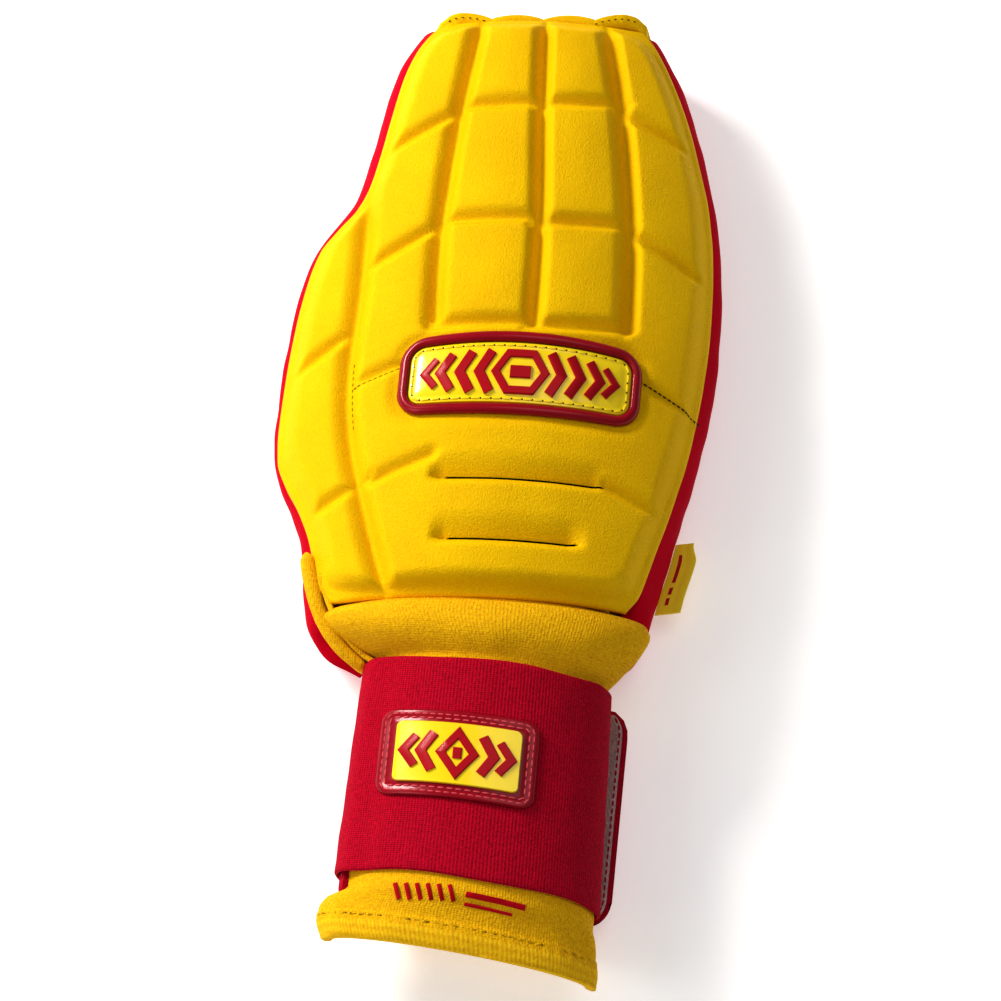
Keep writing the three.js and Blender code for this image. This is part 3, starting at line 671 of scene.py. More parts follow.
# Colours are linear, grain is a noise scale for each metre, and depths of relief are in metres
cloths = table(
    "name dark light grain depth roughness sheen gleam",
    ("pad_cloth", (0.76, 0.41, 0.0), (1.0, 0.68, 0.0), 1750, 0.00044, 0.6, 0, 0.08),
    ("palm_cloth", (0.62, 0.36, 0.0), (0.88, 0.56, 0.0), 1600, 0.00025, 0.8, 0, 0.12),
    ("side_cloth", (0.44, 0.0, 0.012), (0.64, 0.0, 0.028), 1600, 0.00007, 0.55, 0, 0.01),
    ("grip_fuzz", (0.10, 0.06, 0.06), (0.85, 0.62, 0.60), 1300, 0.0009, 1, 0.3, 0.12),
    ("label_tape", (1.0, 0.68, 0.01), (1.0, 0.84, 0.05), 1800, 0.00012, 0.5, 0, 0.12),
    ("black_thread", (0.02, 0.012, 0.002), (0.08, 0.045, 0.006), 2500, 0.0001, 0.7, 0, 0.12),
    ("brown_thread", (0.24, 0.13, 0.0), (0.42, 0.25, 0.0), 2500, 0.0001, 0.7, 0, 0.12),
    ("red_thread", (0.25, 0.0, 0.005), (0.5, 0.0, 0.02), 2500, 0.0001, 0.6, 0, 0.12),
    ("bright_thread", (0.55, 0.03, 0.05), (0.85, 0.16, 0.2), 2500, 0.0001, 0.4, 0, 0.12),
    ("yellow_thread", (0.85, 0.50, 0.0), (1.0, 0.70, 0.02), 2500, 0.0001, 0.55, 0, 0.12),
    ("print_ink", (0.42, 0.0, 0.006), (0.60, 0.0, 0.02), 1500, 0.0001, 0.5, 0, 0.12),
    # Near-black colour painted for the shade down in slits and holes; it is not a colour of the cloth
    ("dark_hole", (0.004, 0.002, 0.0), (0.02, 0.012, 0.0), 1500, 0.0001, 1, 0, 0.12),
)

# Ribs and weave are the widths of one rib and one row, in millimetres
woven_cloths = table(
    "name dark light rib weave depth roughness lines speckle gleam",
    ("neoprene", (0.60, 0.25, 0.0), (1.0, 0.66, 0.01), 0.8, 0.7, 0.00034, 0.8, 0.08, 1, 0.1),
    ("elastic", (0.15, 0.0, 0.006), (0.70, 0.005, 0.044), 0.95, 0.7, 0.0003, 0.8, 0.15, 0.8, 0.06),
    ("hem_cloth", (0.70, 0.33, 0.0), (1.0, 0.69, 0.02), 1.2, 2.6, 0.00022, 0.8, 0.13, 0.9, 0.1),
)
plastics = table(
    "name dark light roughness depth coat gleam",
    ("red_gloss", (0.25, 0.0, 0.007), (0.42, 0.0, 0.020), 0.28, 0.00016, 0.14, 0.26),
    ("red_relief", (0.36, 0.0, 0.006), (0.54, 0.0, 0.016), 0.42, 0.0001, 0.06, 0.22),
    ("yellow_gloss", (0.90, 0.66, 0.0), (1.0, 0.80, 0.0), 0.28, 0.00012, 0.35, 0.5),
)
looks = {row["name"]: knit(**row) for row in cloths}
looks.update((row["name"], woven(**row)) for row in woven_cloths)
looks.update((row["name"], glossy(**row)) for row in plastics)


# Back pad

badge_x = 0.036 * pad_width
badge_y = 0.347 * pad_length


def badge_bulge(x):
    return badge_arch * (1 - np.clip(2 * x / badge_width, -1, 1) ** 2)


def off_badge(x, y):
    """Distance outside the badge's outline, negative inside."""
    arch = badge_bulge(x - badge_x)
    over_x = np.abs(x - badge_x) - (badge_width / 2 - badge_corner)
    over_y = np.abs(y - badge_y - arch / 2) - (badge_height / 2 + arch / 2 - badge_corner)
    outside = np.hypot(np.maximum(over_x, 0), np.maximum(over_y, 0))
    return outside + np.minimum(np.maximum(over_x, over_y), 0) - badge_corner


def off_line(x, y, line):
    """Distance from the nearest part of a line."""
    best = np.full(np.shape(x), 1e9)
    for a, b in zip(line[:-1], line[1:]):
        run = b - a
        t = np.clip(((x - a[0]) * run[0] + (y - a[1]) * run[1]) / (run @ run), 0, 1)
        best = np.minimum(best, np.hypot(x - a[0] - t * run[0], y - a[1] - t * run[1]))
    return best


def spline(course):
    """A smooth line through a groove's places."""
    at = np.array([[row["across"] * pad_width, row["along"] * pad_length] for row in course])
    last = len(at) - 1
    made = []
    for t in np.linspace(0, last, 10 * last + 1):
        i = min(int(t), last - 1)
        w = t - i
        p0, p1, p2, p3 = at[max(i - 1, 0)], at[i], at[i + 1], at[min(i + 2, last)]
        v0 = (p2 - p0) / 2
        v1 = (p3 - p1) / 2
        cubic = 2 * p1 - 2 * p2 + v0 + v1
        square = -3 * p1 + 3 * p2 - 2 * v0 - v1
        made.append(cubic * w ** 3 + square * w * w + v0 * w + p1)
    return np.array(made)


long_lines = [spline(groove["course"]) for groove in long_grooves]


def cross_line(groove):
    return np.array([
        [groove["from_across"] * pad_width, groove["from_along"] * pad_length],
        [groove["to_across"] * pad_width, groove["to_along"] * pad_length],
    ])


def groove_profile(d, width, side):
    """Share of a groove's depth at a distance from its middle: crisp on one side, soft on the other."""
    near = np.maximum(d - groove_floor / 3, 0)

    def wall(reach, power):
        return (1 - np.minimum(near / (width / 2 + reach), 1)) ** power

    return lerp(wall(soft_reach, 1.75), wall(crisp_reach, 1.35), smooth(side, -0.8, 0.8))


def edge_distance(edge, x, y):
    """Distance from a long edge, square to it: more than 0 on its outer side. The places are in a grid."""
    steep = np.gradient(edge(y), axis=0) / np.maximum(np.gradient(y, axis=0), 1e-3)
    return (x - edge(y)) / np.sqrt(1 + steep ** 2)


def pad_depth(x, y):
    """How far the back pad's top lies below its smooth top."""
    deep = np.zeros(np.shape(x))

    def join(more):
        """Takes what is deeper, with a soft change from one to the other."""
        nonlocal deep
        deep = (deep ** 5 + np.maximum(more, 0) ** 5) ** 0.2

    # Grooves, each with a faint hollow on both sides
    for groove, line in zip(long_grooves, long_lines):
        d = off_line(x, y, line)
        order = np.argsort(line[:, 1])
        right = x - np.interp(y, line[order, 1], line[order, 0])
        join((cell_height - 0.3) * groove_profile(d, groove["width"], right))
        join(0.5 * bell(d, 9))
    for groove in cross_grooves:
        line = cross_line(groove)
        run = unit(line[1] - line[0])
        d = off_line(x, y, np.array([line[0] - 2.0 * run, line[1] + 2.0 * run]))
        below = (x - line[0][0]) * run[1] - (y - line[0][1]) * run[0]
        join(groove["depth"] * cell_height * groove_profile(d, groove["width"] - 0.6, below))
        join(0.35 * bell(d, 7))

    # Shoulder and flange along the edges, blended at the corners
    edges = [edge_distance(pad_thumb, x, y), -edge_distance(pad_outer, x, y), y, pad_length - y]
    blend = 0.35
    d = -np.log(sum(np.exp(-blend * np.maximum(edge, -5)) for edge in edges)) / blend
    d = np.maximum(np.minimum(d + 0.3, np.minimum.reduce(edges)), 0)
    u = np.clip((d - flange_width * 0.8) / (shoulder_width + 2.6), 0, 1)
    join(cell_height * (1 - u) ** 2)
    deep = deep + 0.7 * np.clip(1 - d / 1.2, 0, 1) ** 2

    # The badge's seat, and the foam that it draws down round it
    b = off_badge(x, y)
    join(1.5 * bell(np.maximum(b - 0.4, 0), 2.6))
    deep = np.where(b < clearance, np.maximum(deep, badge_sink + clearance), deep)

    # Dents with a long slope above and a short lip below, and the slit at the bottom of each
    for slit in slits:
        v = y - slit["along"] * pad_length
        low = slit["thumb"] * pad_width
        high = slit["outer"] * pad_width
        ends = smooth(x, low - 3, low + 3) * (1 - smooth(x, high - 5, high + 3))
        above = np.clip(1 - v / (dent_slope + 2), 0, 1) ** 1.7
        below = np.clip(1 + v / (dent_lip + 1.2), 0, 1) ** 1.5
        join(dent_depth * ends * np.where(v > 0, above, below))
        cut = (np.abs(v) < slit_half) & (x > low + 4) & (x < high - 1)
        deep = np.where(cut, slit_floor, deep)
    return deep + 0.1 * ripple(x, y, 24, 2)


def spaced(low, high, step, special=()):
    """Evenly spaced places, with the special ones instead of those close to them."""
    base = np.linspace(low, high, int(round((high - low) / step)) + 1)
    kept = [s for s in base if all(abs(s - p) > 0.35 * step for p in special)]
    return np.array(sorted([*kept, *special]))


def back_pad():
    slit_places = [slit["along"] * pad_length for slit in slits]
    slit_rows = (-1.3, -0.7, -0.4, -0.18, 0.18, 0.4, 0.7, 1.3)
    row_step = 0.78
    column_count = 186
    ys = spaced(0, pad_length, row_step, [place + v for place in slit_places for v in slit_rows])
    us = np.linspace(0, 1, column_count)
    us = us - 0.03 * np.sin(4 * math.pi * us) / (2 * math.pi)

    # The rim's levels, from the edge of the top to the underside
    rim_out = np.array([0.0, 0.5, 0.4, -0.5, -6.0])
    rim_rise = np.array([0.0, -7.6, -9.0, -9.9, -10.0])
    around = len(rim_out) - 1
    down = np.arange(around) + 1

    def framed(before, middle, after):
        return np.concatenate([np.broadcast_to(before, around), middle, np.broadcast_to(after, around)])

    flat_rows = np.zeros(len(ys), int)
    flat_columns = np.zeros(len(us), int)
    y = framed(ys[0], ys, ys[-1])
    u = framed(0, us, 1)
    row_turn = framed(-1, flat_rows, 1)
    column_turn = framed(-1, flat_columns, 1)
    level = np.maximum(
        framed(down[::-1], flat_rows, down)[:, None],
        framed(down[::-1], flat_columns, down)[None],
    )
    x = lerp(pad_thumb(y)[:, None], pad_outer(y)[:, None], u[None])
    y = np.repeat(y[:, None], len(u), 1)
    inner = (slice(around, -around), slice(around, -around))
    top = -pad_depth(x[inner], y[inner])

    # All but the badge's seat and the slits is softened a little
    kept = off_badge(x[inner], y[inner]) < 1.5
    for place in slit_places:
        kept |= np.abs(y[inner] - place) < 2
    kept = kept[1:-1, 1:-1]
    for _ in range(2):
        middle = top[1:-1, 1:-1]
        beside = top[:-2, 1:-1] + top[2:, 1:-1] + top[1:-1, :-2] + top[1:-1, 2:]
        top[1:-1, 1:-1] = np.where(kept, middle, (beside + 4 * middle) / 8)

    rise = rim_rise[level]
    rise[inner] = top
    out = rim_out[level]
    points = pad_point(x + out * column_turn[None], y + out * row_turn[:, None], rise)
    shape = Shape()
    faces = grid_faces(*x.shape)
    # Faces down in the flex slits take a near-black colour: painted shade inside the narrow cuts
    slit_shade_faces = (rise.ravel()[faces] < -(dent_depth + 1.6)).sum(1) >= 2
    middle = y.ravel()[faces].mean(1)
    slit_shade_faces &= np.minimum.reduce([np.abs(middle - place) for place in slit_places]) < 1
    slit_shade_faces &= level.ravel()[faces].max(1) == 0
    across = x.ravel()[faces].mean(1)
    slit_shade_faces &= (across > slits[0]["thumb"] * pad_width) & (across < slits[0]["outer"] * pad_width)
    shape.add(points, faces[~slit_shade_faces], 0)
    shape.add(points, faces[slit_shade_faces], 2)

    # Underside, then the stitches in two cross grooves and one long groove
    under_margin = 3
    y = np.linspace(under_margin, pad_length - under_margin, 60)[:, None]
    x = lerp(pad_thumb(y) + under_margin, pad_outer(y) - under_margin, np.linspace(0, 1, 36)[None])
    shape.add(pad_point(x, y, -sheet_bottom + 0.05), grid_faces(*x.shape), 0)
    for seam in table("groove beside look", (2, -0.9, 3), (14, 0.9, 1)):
        a, b = cross_line(cross_grooves[seam["groove"]])
        run = unit(b - a)
        beside = np.array([-run[1], run[0]]) * seam["beside"]
        path = dense([lerp(a, b, 0.05) + beside, lerp(a, b, 0.97) + beside], 1)
        stitches(shape, path, "pad_cross", on_pad, 0.25, seam["look"])
    line = long_lines[3]
    path = line[(line[:, 1] > 0.27 * pad_length) & (line[:, 1] < 0.4 * pad_length)] + np.array([1.3, 0])
    stitches(shape, path, "pad_long", on_pad, 0.2, 3)
    piece = shape.build(
        "back_pad_foam", "pad_cloth black_thread dark_hole brown_thread", "back_pad",
    )


def on_pad(x, y, rise):
    """A point over the pad's top, whose depth is read from short columns of neighbours."""
    x, y, rise = together(np.atleast_1d(x), y, rise)
    columns = np.stack([y - 0.2, y, y + 0.2])
    return pad_point(x, y, rise - pad_depth(np.stack([x, x, x]), columns)[1])


# Badge on the back pad

def on_badge(x, v, rise):
    """A point over the pad's badge, whose long sides are arched."""
    x, v, rise = together(x, v, rise)
    return pad_point(badge_x + x, badge_y + v + badge_bulge(x) * (v / badge_height + 0.5), rise)


def chevrons(shape, sizes, low, high, place):
    """Raised chevrons in mirrored pairs, which point outwards."""
    for side in (-1, 1):
        for size in sizes:
            back = side * (size["reach"] - 3.8)
            path = [(back, -size["tall"]), (side * size["reach"], 0), (back, size["tall"])]
            ribbon(shape, path, size["half"], low, high, place, 1)


def badge():
    crest = badge_thickness - badge_sink
    border = Shape()
    wide = badge_border - 0.6
    levels = [(0.5, -1.4), (0.0, -1.2), (-0.1, -0.4), (0.15, 0.4), (0.7, crest - 0.25), (wide / 2, crest)]
    levels += [(wide - 0.7, crest - 0.25), (wide - 0.15, 0.4), (wide, -0.5), (wide - 0.3, -1.35)]
    plate(border, on_badge, badge_width, badge_height, badge_corner, levels, caps=False)
    border.build("badge_border_gloss", "red_gloss", "badge_border")

    # Plate with its sewn edge and its raised marks
    field = Shape()
    inner = badge_border - 0.3
    width = badge_width - 2 * inner
    height = badge_height - 2 * inner
    corner = badge_corner - inner
    top = badge_plate_thickness - badge_sink
    levels = [(0.5, -1.35), (0.0, -1.2), (0.0, -0.5), (0.25, -0.1), (0.7, top - 0.08), (1.6, top)]
    levels += [(2.1, top - 0.12), (2.7, top + 0.05), (4, top + 0.2), (6, top + 0.3), (8, top + 0.35)]
    levels.append((height / 2 - 0.1, top + 0.35))
    plate(field, on_badge, width, height, corner, levels, 0)
    ring = rounded_loop(width, height, corner, 1.15)
    stitches(field, ring, "plate_edge", on_badge, top + 0.02, 0, True)
    # Dark dots between the edge stitches: the stitch holes, painted as near-black shade
    stitches(field, ring, "plate_hole", on_badge, top + 0.05, 2, True, 1.0)
    high = top + 1.0
    sizes = table("reach tall half", (13.6, 6.6, 1.6), (20.0, 6.4, 1.6), (26.4, 5.8, 1.5), (31.6, 4.6, 1.2))
    chevrons(field, sizes, top, high, on_badge)
    hexagon = [(-8.2, 0), (-4.2, 5.9), (4.2, 5.9), (8.2, 0), (4.2, -5.9), (-4.2, -5.9)]
    ribbon(field, hexagon, 1.25, top, high, on_badge, 1, True)
    ribbon(field, [(-3.4, 0), (3.4, 0)], 2.0, top, high, on_badge, 1)
    field.build("badge_plate_gloss", "yellow_gloss red_relief dark_hole", "badge_plate", 40)


# Palm pad

def palm_rows():
    rows = [
        {"y": -row["past"] * heel_length, "left": row["thumb"] * pad_width, "right": row["outer"] * pad_width}
        for row in reversed(heel)
    ]
    for row in outline:
        y = row["along"] * pad_length + (tip_reach if row["along"] == 1 else 0)
        rows.append({"y": y, "left": row["palm_thumb"] * pad_width, "right": row["palm_outer"] * pad_width})
    return rows


def palm_loop():
    rows = palm_rows()
    left = track(rows, "y", "left")
    right = track(rows, "y", "right")
    ys = np.linspace(rows[0]["y"], rows[-1]["y"], 150)
    up = np.stack([right(ys), ys], -1)
    down = np.stack([left(ys), ys], -1)[::-1]
    top = lerp(up[-1], down[0], np.linspace(0, 1, 42)[1:-1, None])
    bottom = lerp(down[-1], up[0], np.linspace(0, 1, 42)[1:-1, None])
    loop = np.concatenate([up, top, down, bottom])
    for _ in range(12):
        loop = (np.roll(loop, 1, 0) + 2 * loop + np.roll(loop, -1, 0)) / 4
    return loop


def palm_pad():
    loop = palm_loop()
    run = unit(np.roll(loop, -1, 0) - np.roll(loop, 1, 0))
    normal = np.stack([-run[:, 1], run[:, 0]], -1)
    for _ in range(6):
        normal = unit(np.roll(normal, 1, 0) + normal + np.roll(normal, -1, 0))

    def layer(inset, z):
        at = loop + normal * (inset + seam_gap)
        return leaned(at[:, 0], at[:, 1], z)

    shape = Shape()
    side = [(palm_round, 0.0), (2.1, 0.35), (1.0, 1.1), (0.3, 2.2), (0.0, 3.5)]
    side += [(0.0, 5.4), (0.25, 6.6), (0.8, 7.5), (1.8, palm_thickness)]
    loft(shape, np.stack([layer(*s) for s in side]), 1, caps=False)
    for inset, z in (side[0], side[-1]):
        shape.add(layer(inset, z), [list(range(len(loop)))], 0)
    path = loop + normal * (seam_gap + 0.15)
    stitches(shape, path, "palm", leaned, 3.4, 2, True)
    piece = shape.build("palm_pad_foam", "palm_cloth side_cloth red_thread", "palm_pad")


# Side walls and fingertip wall

wall_foot = palm_thickness + clearance


def rim_under(x, y):
    return dome(x, y) - sheet_bottom - clearance


def heel_stop(side, row):
    """Foot, head and top of a side wall beside the heel."""
    x = row[side] * pad_width
    y = -row["past"] * heel_length
    lean = heel_lean * heel_rise * row["wall"]
    return [x, y, x - math.copysign(lean, x), y, wall_foot + heel_rise * row["wall"]]


def side_stop(side, y):
    """Foot, head and top of a side wall beside the pad."""
    foot = (palm_thumb if side == "thumb" else palm_outer)(y)
    head = (pad_thumb if side == "thumb" else pad_outer)(y) * (1 - seam_gap / (pad_width / 2))
    full = rim_under(head, y)
    under_welt = full - 2 * welt_radius - 4 * clearance
    low = under_welt + 3.5 if side == "thumb" else wall_foot + heel_rise
    start = welt_top if side == "thumb" else 0
    return [foot, y, head, y, lerp(low, full, smooth(y / pad_length, start + 0.005, start + 0.035))]


def side_course(side):
    stops = [heel_stop(side, row) for row in reversed(heel[:3])]
    ends = [row["along"] * pad_length for row in outline[:-2]] + [pad_length - tip_thickness]
    ys = np.concatenate([spaced(0, 12, 1.0), np.arange(14, ends[-1], 2.0), [ends[-1]]])
    course = np.array(stops + [[float(v) for v in side_stop(side, y)] for y in ys])
    gone = travelled(course[:, :2])
    return soften(sampled(np.linspace(0, gone[-1], 190), gone, course), 10)


def wall_rings(course, thickness, bulge, sign, puff):
    """A side wall's section at each stop of its course, with soft waves in its cloth."""
    foot, head, top = course[:, 0:2], course[:, 2:4], course[:, 4]
    share = foot[:, 1] / pad_length
    run = unit(np.gradient(foot, axis=0))
    normal = np.stack([-run[:, 1], run[:, 0]], -1) * sign
    gone = travelled(foot)
    rows = []

    def at(t, depth, lift=0.0):
        """All places at one share of the wall's height and one depth into it."""
        flat = lerp(foot, head, t ** 1.5)
        waves = puff * math.sin(math.pi * min(1, t * 1.3)) * ripple(gone, gone * 0, 11, 3)
        high_up = 0.9 * smooth(share, 0.84, 0.95) * math.sin(math.pi * t * t)
        flat = flat + normal * (bulge * math.sin(math.pi * t) + waves + high_up - depth)[:, None]
        last = smooth(share, 0.955, 0.985)
        flat = flat + np.stack([-1.3 * np.sign(flat[:, 0]) * last, 3.0 * last], -1)
        return leaned(flat[:, 0], flat[:, 1], lerp(wall_foot, top, t) + lift)

    for t in np.linspace(0, 1, 13):
        rows.append(at(t, 0.0 if t < 0.97 else 0.35))
    rows.append(at(1, thickness / 2, 0.12))
    for t in np.linspace(1, 0, 5):
        rows.append(at(t, thickness))
    flat = np.stack(np.broadcast_arrays(gone[:, None], np.arange(len(rows))[None] * 2.0), -1)
    return np.stack(rows, 1), flat


def side_walls():
    for side, sign, name in (("thumb", 1, "side_wall_thumb"), ("outer", -1, "side_wall_outer")):
        rings, flat = wall_rings(side_course(side), wall_thickness, wall_bulge + 0.2, sign, 0.16)
        shape = Shape()
        loft(shape, rings, 0, flat)
        shape.build(name + "_cloth", "side_cloth", name, 60)


def tip_wall():
    """The wall behind the fingertips: a lobe for each finger, higher and flatter in the middle."""
    lobes = 4
    t = np.linspace(0, 1, 161)
    foot_x = lerp(palm_thumb(pad_length), palm_outer(pad_length), t)
    head_x = lerp(pad_thumb(pad_length) - 0.9, pad_outer(pad_length) + 0.9, t)
    lobe = lobe_depth * np.abs(np.sin(lobes * math.pi * t)) ** 0.7
    head_y = pad_length + clearance + tip_thickness + lobe + tip_lean * (head_x - pad_thumb(pad_length))
    from_end = np.minimum(t, 1 - t)
    near_end = 1 - smooth(from_end, 0, 0.06)
    middle = smooth(from_end, 0.08, 0.3)
    head_y = head_y - 0.5 - 1.3 * (near_end + middle)
    top = np.minimum(dome(tip_level * pad_width, pad_length), dome(head_x, pad_length)) - cell_height
    top = top + 0.4 * lobe - 0.3 - 0.5 * near_end + 1.3 * middle
    foot_y = pad_length + tip_reach - seam_gap + 0.6 * lobe
    profile = [(0.0, 0.0), (0.15, -0.3), (0.35, -0.6), (0.6, -0.5), (0.8, -0.25), (0.92, 0.0), (0.97, 0.25)]
    profile += [(1.0, 0.8), (1.0, 1.8), (0.985, 2.8), (0.97, 4.2), (0.9, 4.6)]
    profile += [(up, tip_thickness) for up in (0.85, 0.5, 0.0)]
    rows = []
    for up, depth in profile:
        share = up ** 1.5
        y = lerp(foot_y, head_y, share) - depth
        rows.append(leaned(lerp(foot_x, head_x, share), y, lerp(wall_foot, top, up)))
    shape = Shape()
    loft(shape, np.stack(rows, 1))

    def on_top(x, y, rise):
        return leaned(x, y, np.interp(x, head_x, top) + rise)

    # Dark dots along the outer lobes: holes, painted as near-black shade
    for low, high in ((0.03, 0.3), (0.74, 0.96)):
        pick = (t > low) & (t < high)
        path = np.stack([head_x[pick], head_y[pick] - 2.6], -1)
        stitches(shape, path, "fingertip_hole", on_top, 0.05, 1)
    shape.build("fingertip_wall_cloth", "pad_cloth dark_hole", "fingertip_wall", 60)


# Sleeve

def sleeve_rows():
    """The sleeve's sections, at their way from the back pad's wrist edge."""
    rows = []

    def section(*values):
        rows.extend(table("s lean left right low high cut", values))

    clear = wall_thickness + 3 * clearance
    for y in (sleeve_inside, sleeve_inside * 0.2):
        left = float(pad_thumb(y)) * sleeve_narrowing + clear
        right = float(pad_outer(y)) * sleeve_narrowing - clear
        section(-y, edge_lean, left, right, wall_foot, float(dome(0, y)) - sheet_bottom - sleeve_tuck, 0)
    for row in collar:
        lean = lerp(edge_lean, strap_lean, row["past"])
        left = row["thumb"] * pad_width
        right = row["outer"] * pad_width
        section(-row["past"] * strap_top, lean, left, right, wall_foot, row["high"] * crown_height, 0)
    for share in (-1 / strap_width, 0, 0.25, 0.5, 0.75, 1):
        inside = max(share, 0)
        half = lerp(wrist_width, forearm_width, inside) / 2
        centre = lerp(wrist_centre, forearm_centre, inside)
        lean = lerp(strap_lean, strap_end_lean, inside)
        high = wrist_low + lerp(wrist_height, forearm_height, inside)
        s = -lerp(strap_top, strap_end, share)
        section(s, lean, centre - half, centre + half, wrist_low, high, 0)
    for row in cuff:
        half = forearm_width * row["wider"] / 2
        centre = forearm_centre + row["shift"] * forearm_width
        lean = lerp(strap_end_lean, rim_lean, row["past"])
        low = wrist_low + row["low"] * forearm_height
        high = wrist_low + row["high"] * forearm_height
        s = -strap_end + row["past"] * cuff_length
        section(s, lean, centre - half, centre + half, low, high, row["cut_back"] * rim_cut_back)
    return rows


sleeve_at = {name: track(sleeve_rows(), "s", name) for name in "lean left right low high cut".split()}
rim_place = -strap_end + cuff_length
hem_place = rim_place - hem_width


def on_sleeve(s, degrees, off):
    """A point round the sleeve, off its outer face."""
    s, degrees, off = together(s, degrees, off)
    left, right, low, high = (sleeve_at[name](s) for name in ("left", "right", "low", "high"))
    turn = np.radians(degrees)
    x = (left + right) / 2 + ((right - left) / 2 + off) * np.cos(turn)
    z = (low + high) / 2 + ((high - low) / 2 + off) * np.sin(turn)
    y = -s + sleeve_at["lean"](s) * x + sleeve_at["cut"](s) * np.maximum(0, -np.sin(turn))
    return np.stack([x, y, z], -1)


def over_sleeve(x, y, off):
    """A point over the top of the sleeve at a place seen from above."""
    x, y, off = together(x, y, off)
    s = -y
    for _ in range(3):
        s = -y + sleeve_at["lean"](s) * x
    left, right = sleeve_at["left"](s), sleeve_at["right"](s)
    turn = np.degrees(np.arccos(np.clip((x - (left + right) / 2) / ((right - left) / 2 + off), -1, 1)))
    return on_sleeve(s, turn, off)


def sleeve_swell(s, degrees):
    """How far the neoprene stands out: soft folds, the tuck by the pad, the puffed collar and the hem."""
    free = smooth(s, 1.5, 6) * (1 - smooth(s, 17, 21))
    turn = np.radians(degrees)
    folds = 0.16 * np.sin(turn * 23 + 2 * np.sin(turn * 3)) * smooth(s, 11, 17)
    broad = 0.3 * ripple(degrees * 0.6, s, 20, 5)
    tuck = 3.1 * bell(s - 0.5, 2.0) * smooth(np.sin(turn), -0.5, -0.1)
    edge = smooth(s, -strap_end + 2, -strap_end + 8) * 0.35 * ripple(degrees * 0.7, s, 22, 8)
    hem = hem_thickness * smooth(s, hem_place - 0.5, hem_place + 0.4)
    sewn = 0.25 * bell(s - hem_place - 0.9, 0.8)
    pucker = 0.2 * np.sin(turn * 62 + 2.5 * np.sin(turn * 5)) * bell(s - hem_place - 1.5, 2.6)
    roll_over = 0.5 * bell(s - hem_place - 4.6, 2.6)
    puff = 1.3 * bell(s - 13.5, 4.0) * smooth(np.sin(turn), -0.2, 0.3)
    return free * (folds + broad) + puff + tuck + edge + hem - sewn + pucker + roll_over


def sleeve():
    row_step = 1.1
    ss = spaced(-sleeve_inside, rim_place, row_step, [hem_place + v for v in (-0.6, -0.2, 0.2, 0.6)])
    degrees = np.linspace(-90, 270, 201)[:-1]
    outer = on_sleeve(ss[:, None], degrees[None], sleeve_swell(ss[:, None], degrees[None]))
    rim = []
    for push, drop in ((0.35, 0.4), (0.6, 1.5), (0.35, 2.8)):
        ring = on_sleeve(rim_place, degrees, hem_thickness - drop)
        ring[:, 1] -= push
        rim.append(ring)
    back = ss[::-2]
    inner = on_sleeve(back[:, None], degrees[None], -sleeve_wall)
    rings = np.concatenate([outer, np.stack(rim), inner, outer[:1]])
    along = np.concatenate([ss, rim_place + np.arange(1, 4), back, ss[:1]])
    flat = np.stack(np.broadcast_arrays(degrees[None] * 0.6, along[:, None]), -1)
    hem_look = 3
    ring_looks = np.zeros(len(rings) - 1, int)
    ring_looks[(ss[:-1] > hem_place + 1.6).nonzero()[0]] = hem_look
    ring_looks[len(ss) - 1:len(ss) + 2] = hem_look
    shape = Shape()
    loft(shape, rings, 0, flat, caps=False)
    shape.which = np.repeat(ring_looks, len(degrees)).tolist()
    around = np.linspace(0, 360, 121)[:-1]
    path = np.stack([around, np.full(len(around), hem_place + 0.9)], -1)

    def place(turn, s, rise):
        return on_sleeve(s, turn, rise)

    stitches(shape, path, "hem", place, hem_thickness - 0.2, 1, True)

    # Print on the cuff: slanted strokes and two lines, at places seen from above
    marks = [([(x + 1.7, -102.2), (x, -97.3)], 0.65) for x in np.arange(6) * 3.5 - 19.5]
    marks += [([(3.5, -99.9), (22.5, -102.0)], 0.8), ([(3.2, -102.7), (18.5, -104.4)], 0.45)]
    for path, half in marks:
        ribbon(shape, path, half, -0.3, 0.5, over_sleeve, 2, bevel=0.05)
    shape.build("sleeve_neoprene", "neoprene yellow_thread print_ink hem_cloth", "sleeve", 70)


# Welt of the sleeve's seam on the thumb side

welt_ridge = table(
    "x y z r",
    (-60.4, 15.2, 34.0, 0.8),
    (-58.4, 7.6, 34.0, 0.95),
    (-55.8, -0.4, 34.0, 0.95),
    (-52.8, -7.0, 33.6, 0.95),
    (-49.4, -12.0, 33.0, 0.95),
    (-45.6, -16.2, 32.0, 0.9),
    (-41.2, -19.4, 31.0, 0.85),
    (-37.0, -21.6, 30.0, 0.7),
)


def roll(shape, rows, radius, flatten, ends):
    """A soft roll through a few places, whose ends have a share of its radius."""
    steps = 60
    sides = 16
    at = np.array([[row["x"], row["y"], row["z"], row["r"]] for row in rows])
    course = soften(sampled(np.linspace(0, len(at) - 1, steps), np.arange(len(at)), at), 7)
    along = unit(np.gradient(course[:, :3], axis=0))
    up = np.array([0.0, 0.0, 1.0])
    side = unit(np.cross(up, along))
    up = np.cross(along, side)
    t = np.linspace(0, 1, steps)
    taper = np.clip(np.minimum(t, 1 - t) / 0.05, 0, 1) ** 0.5 * (1 - ends) + ends
    turn = np.linspace(0, 2 * math.pi, sides + 1)[:-1]
    r = radius * course[:, 3] * taper
    rings = course[:, None, :3] + r[:, None, None] * (
        np.cos(turn)[None, :, None] * side[:, None] + flatten * np.sin(turn)[None, :, None] * up[:, None]
    )
    loft(shape, rings)


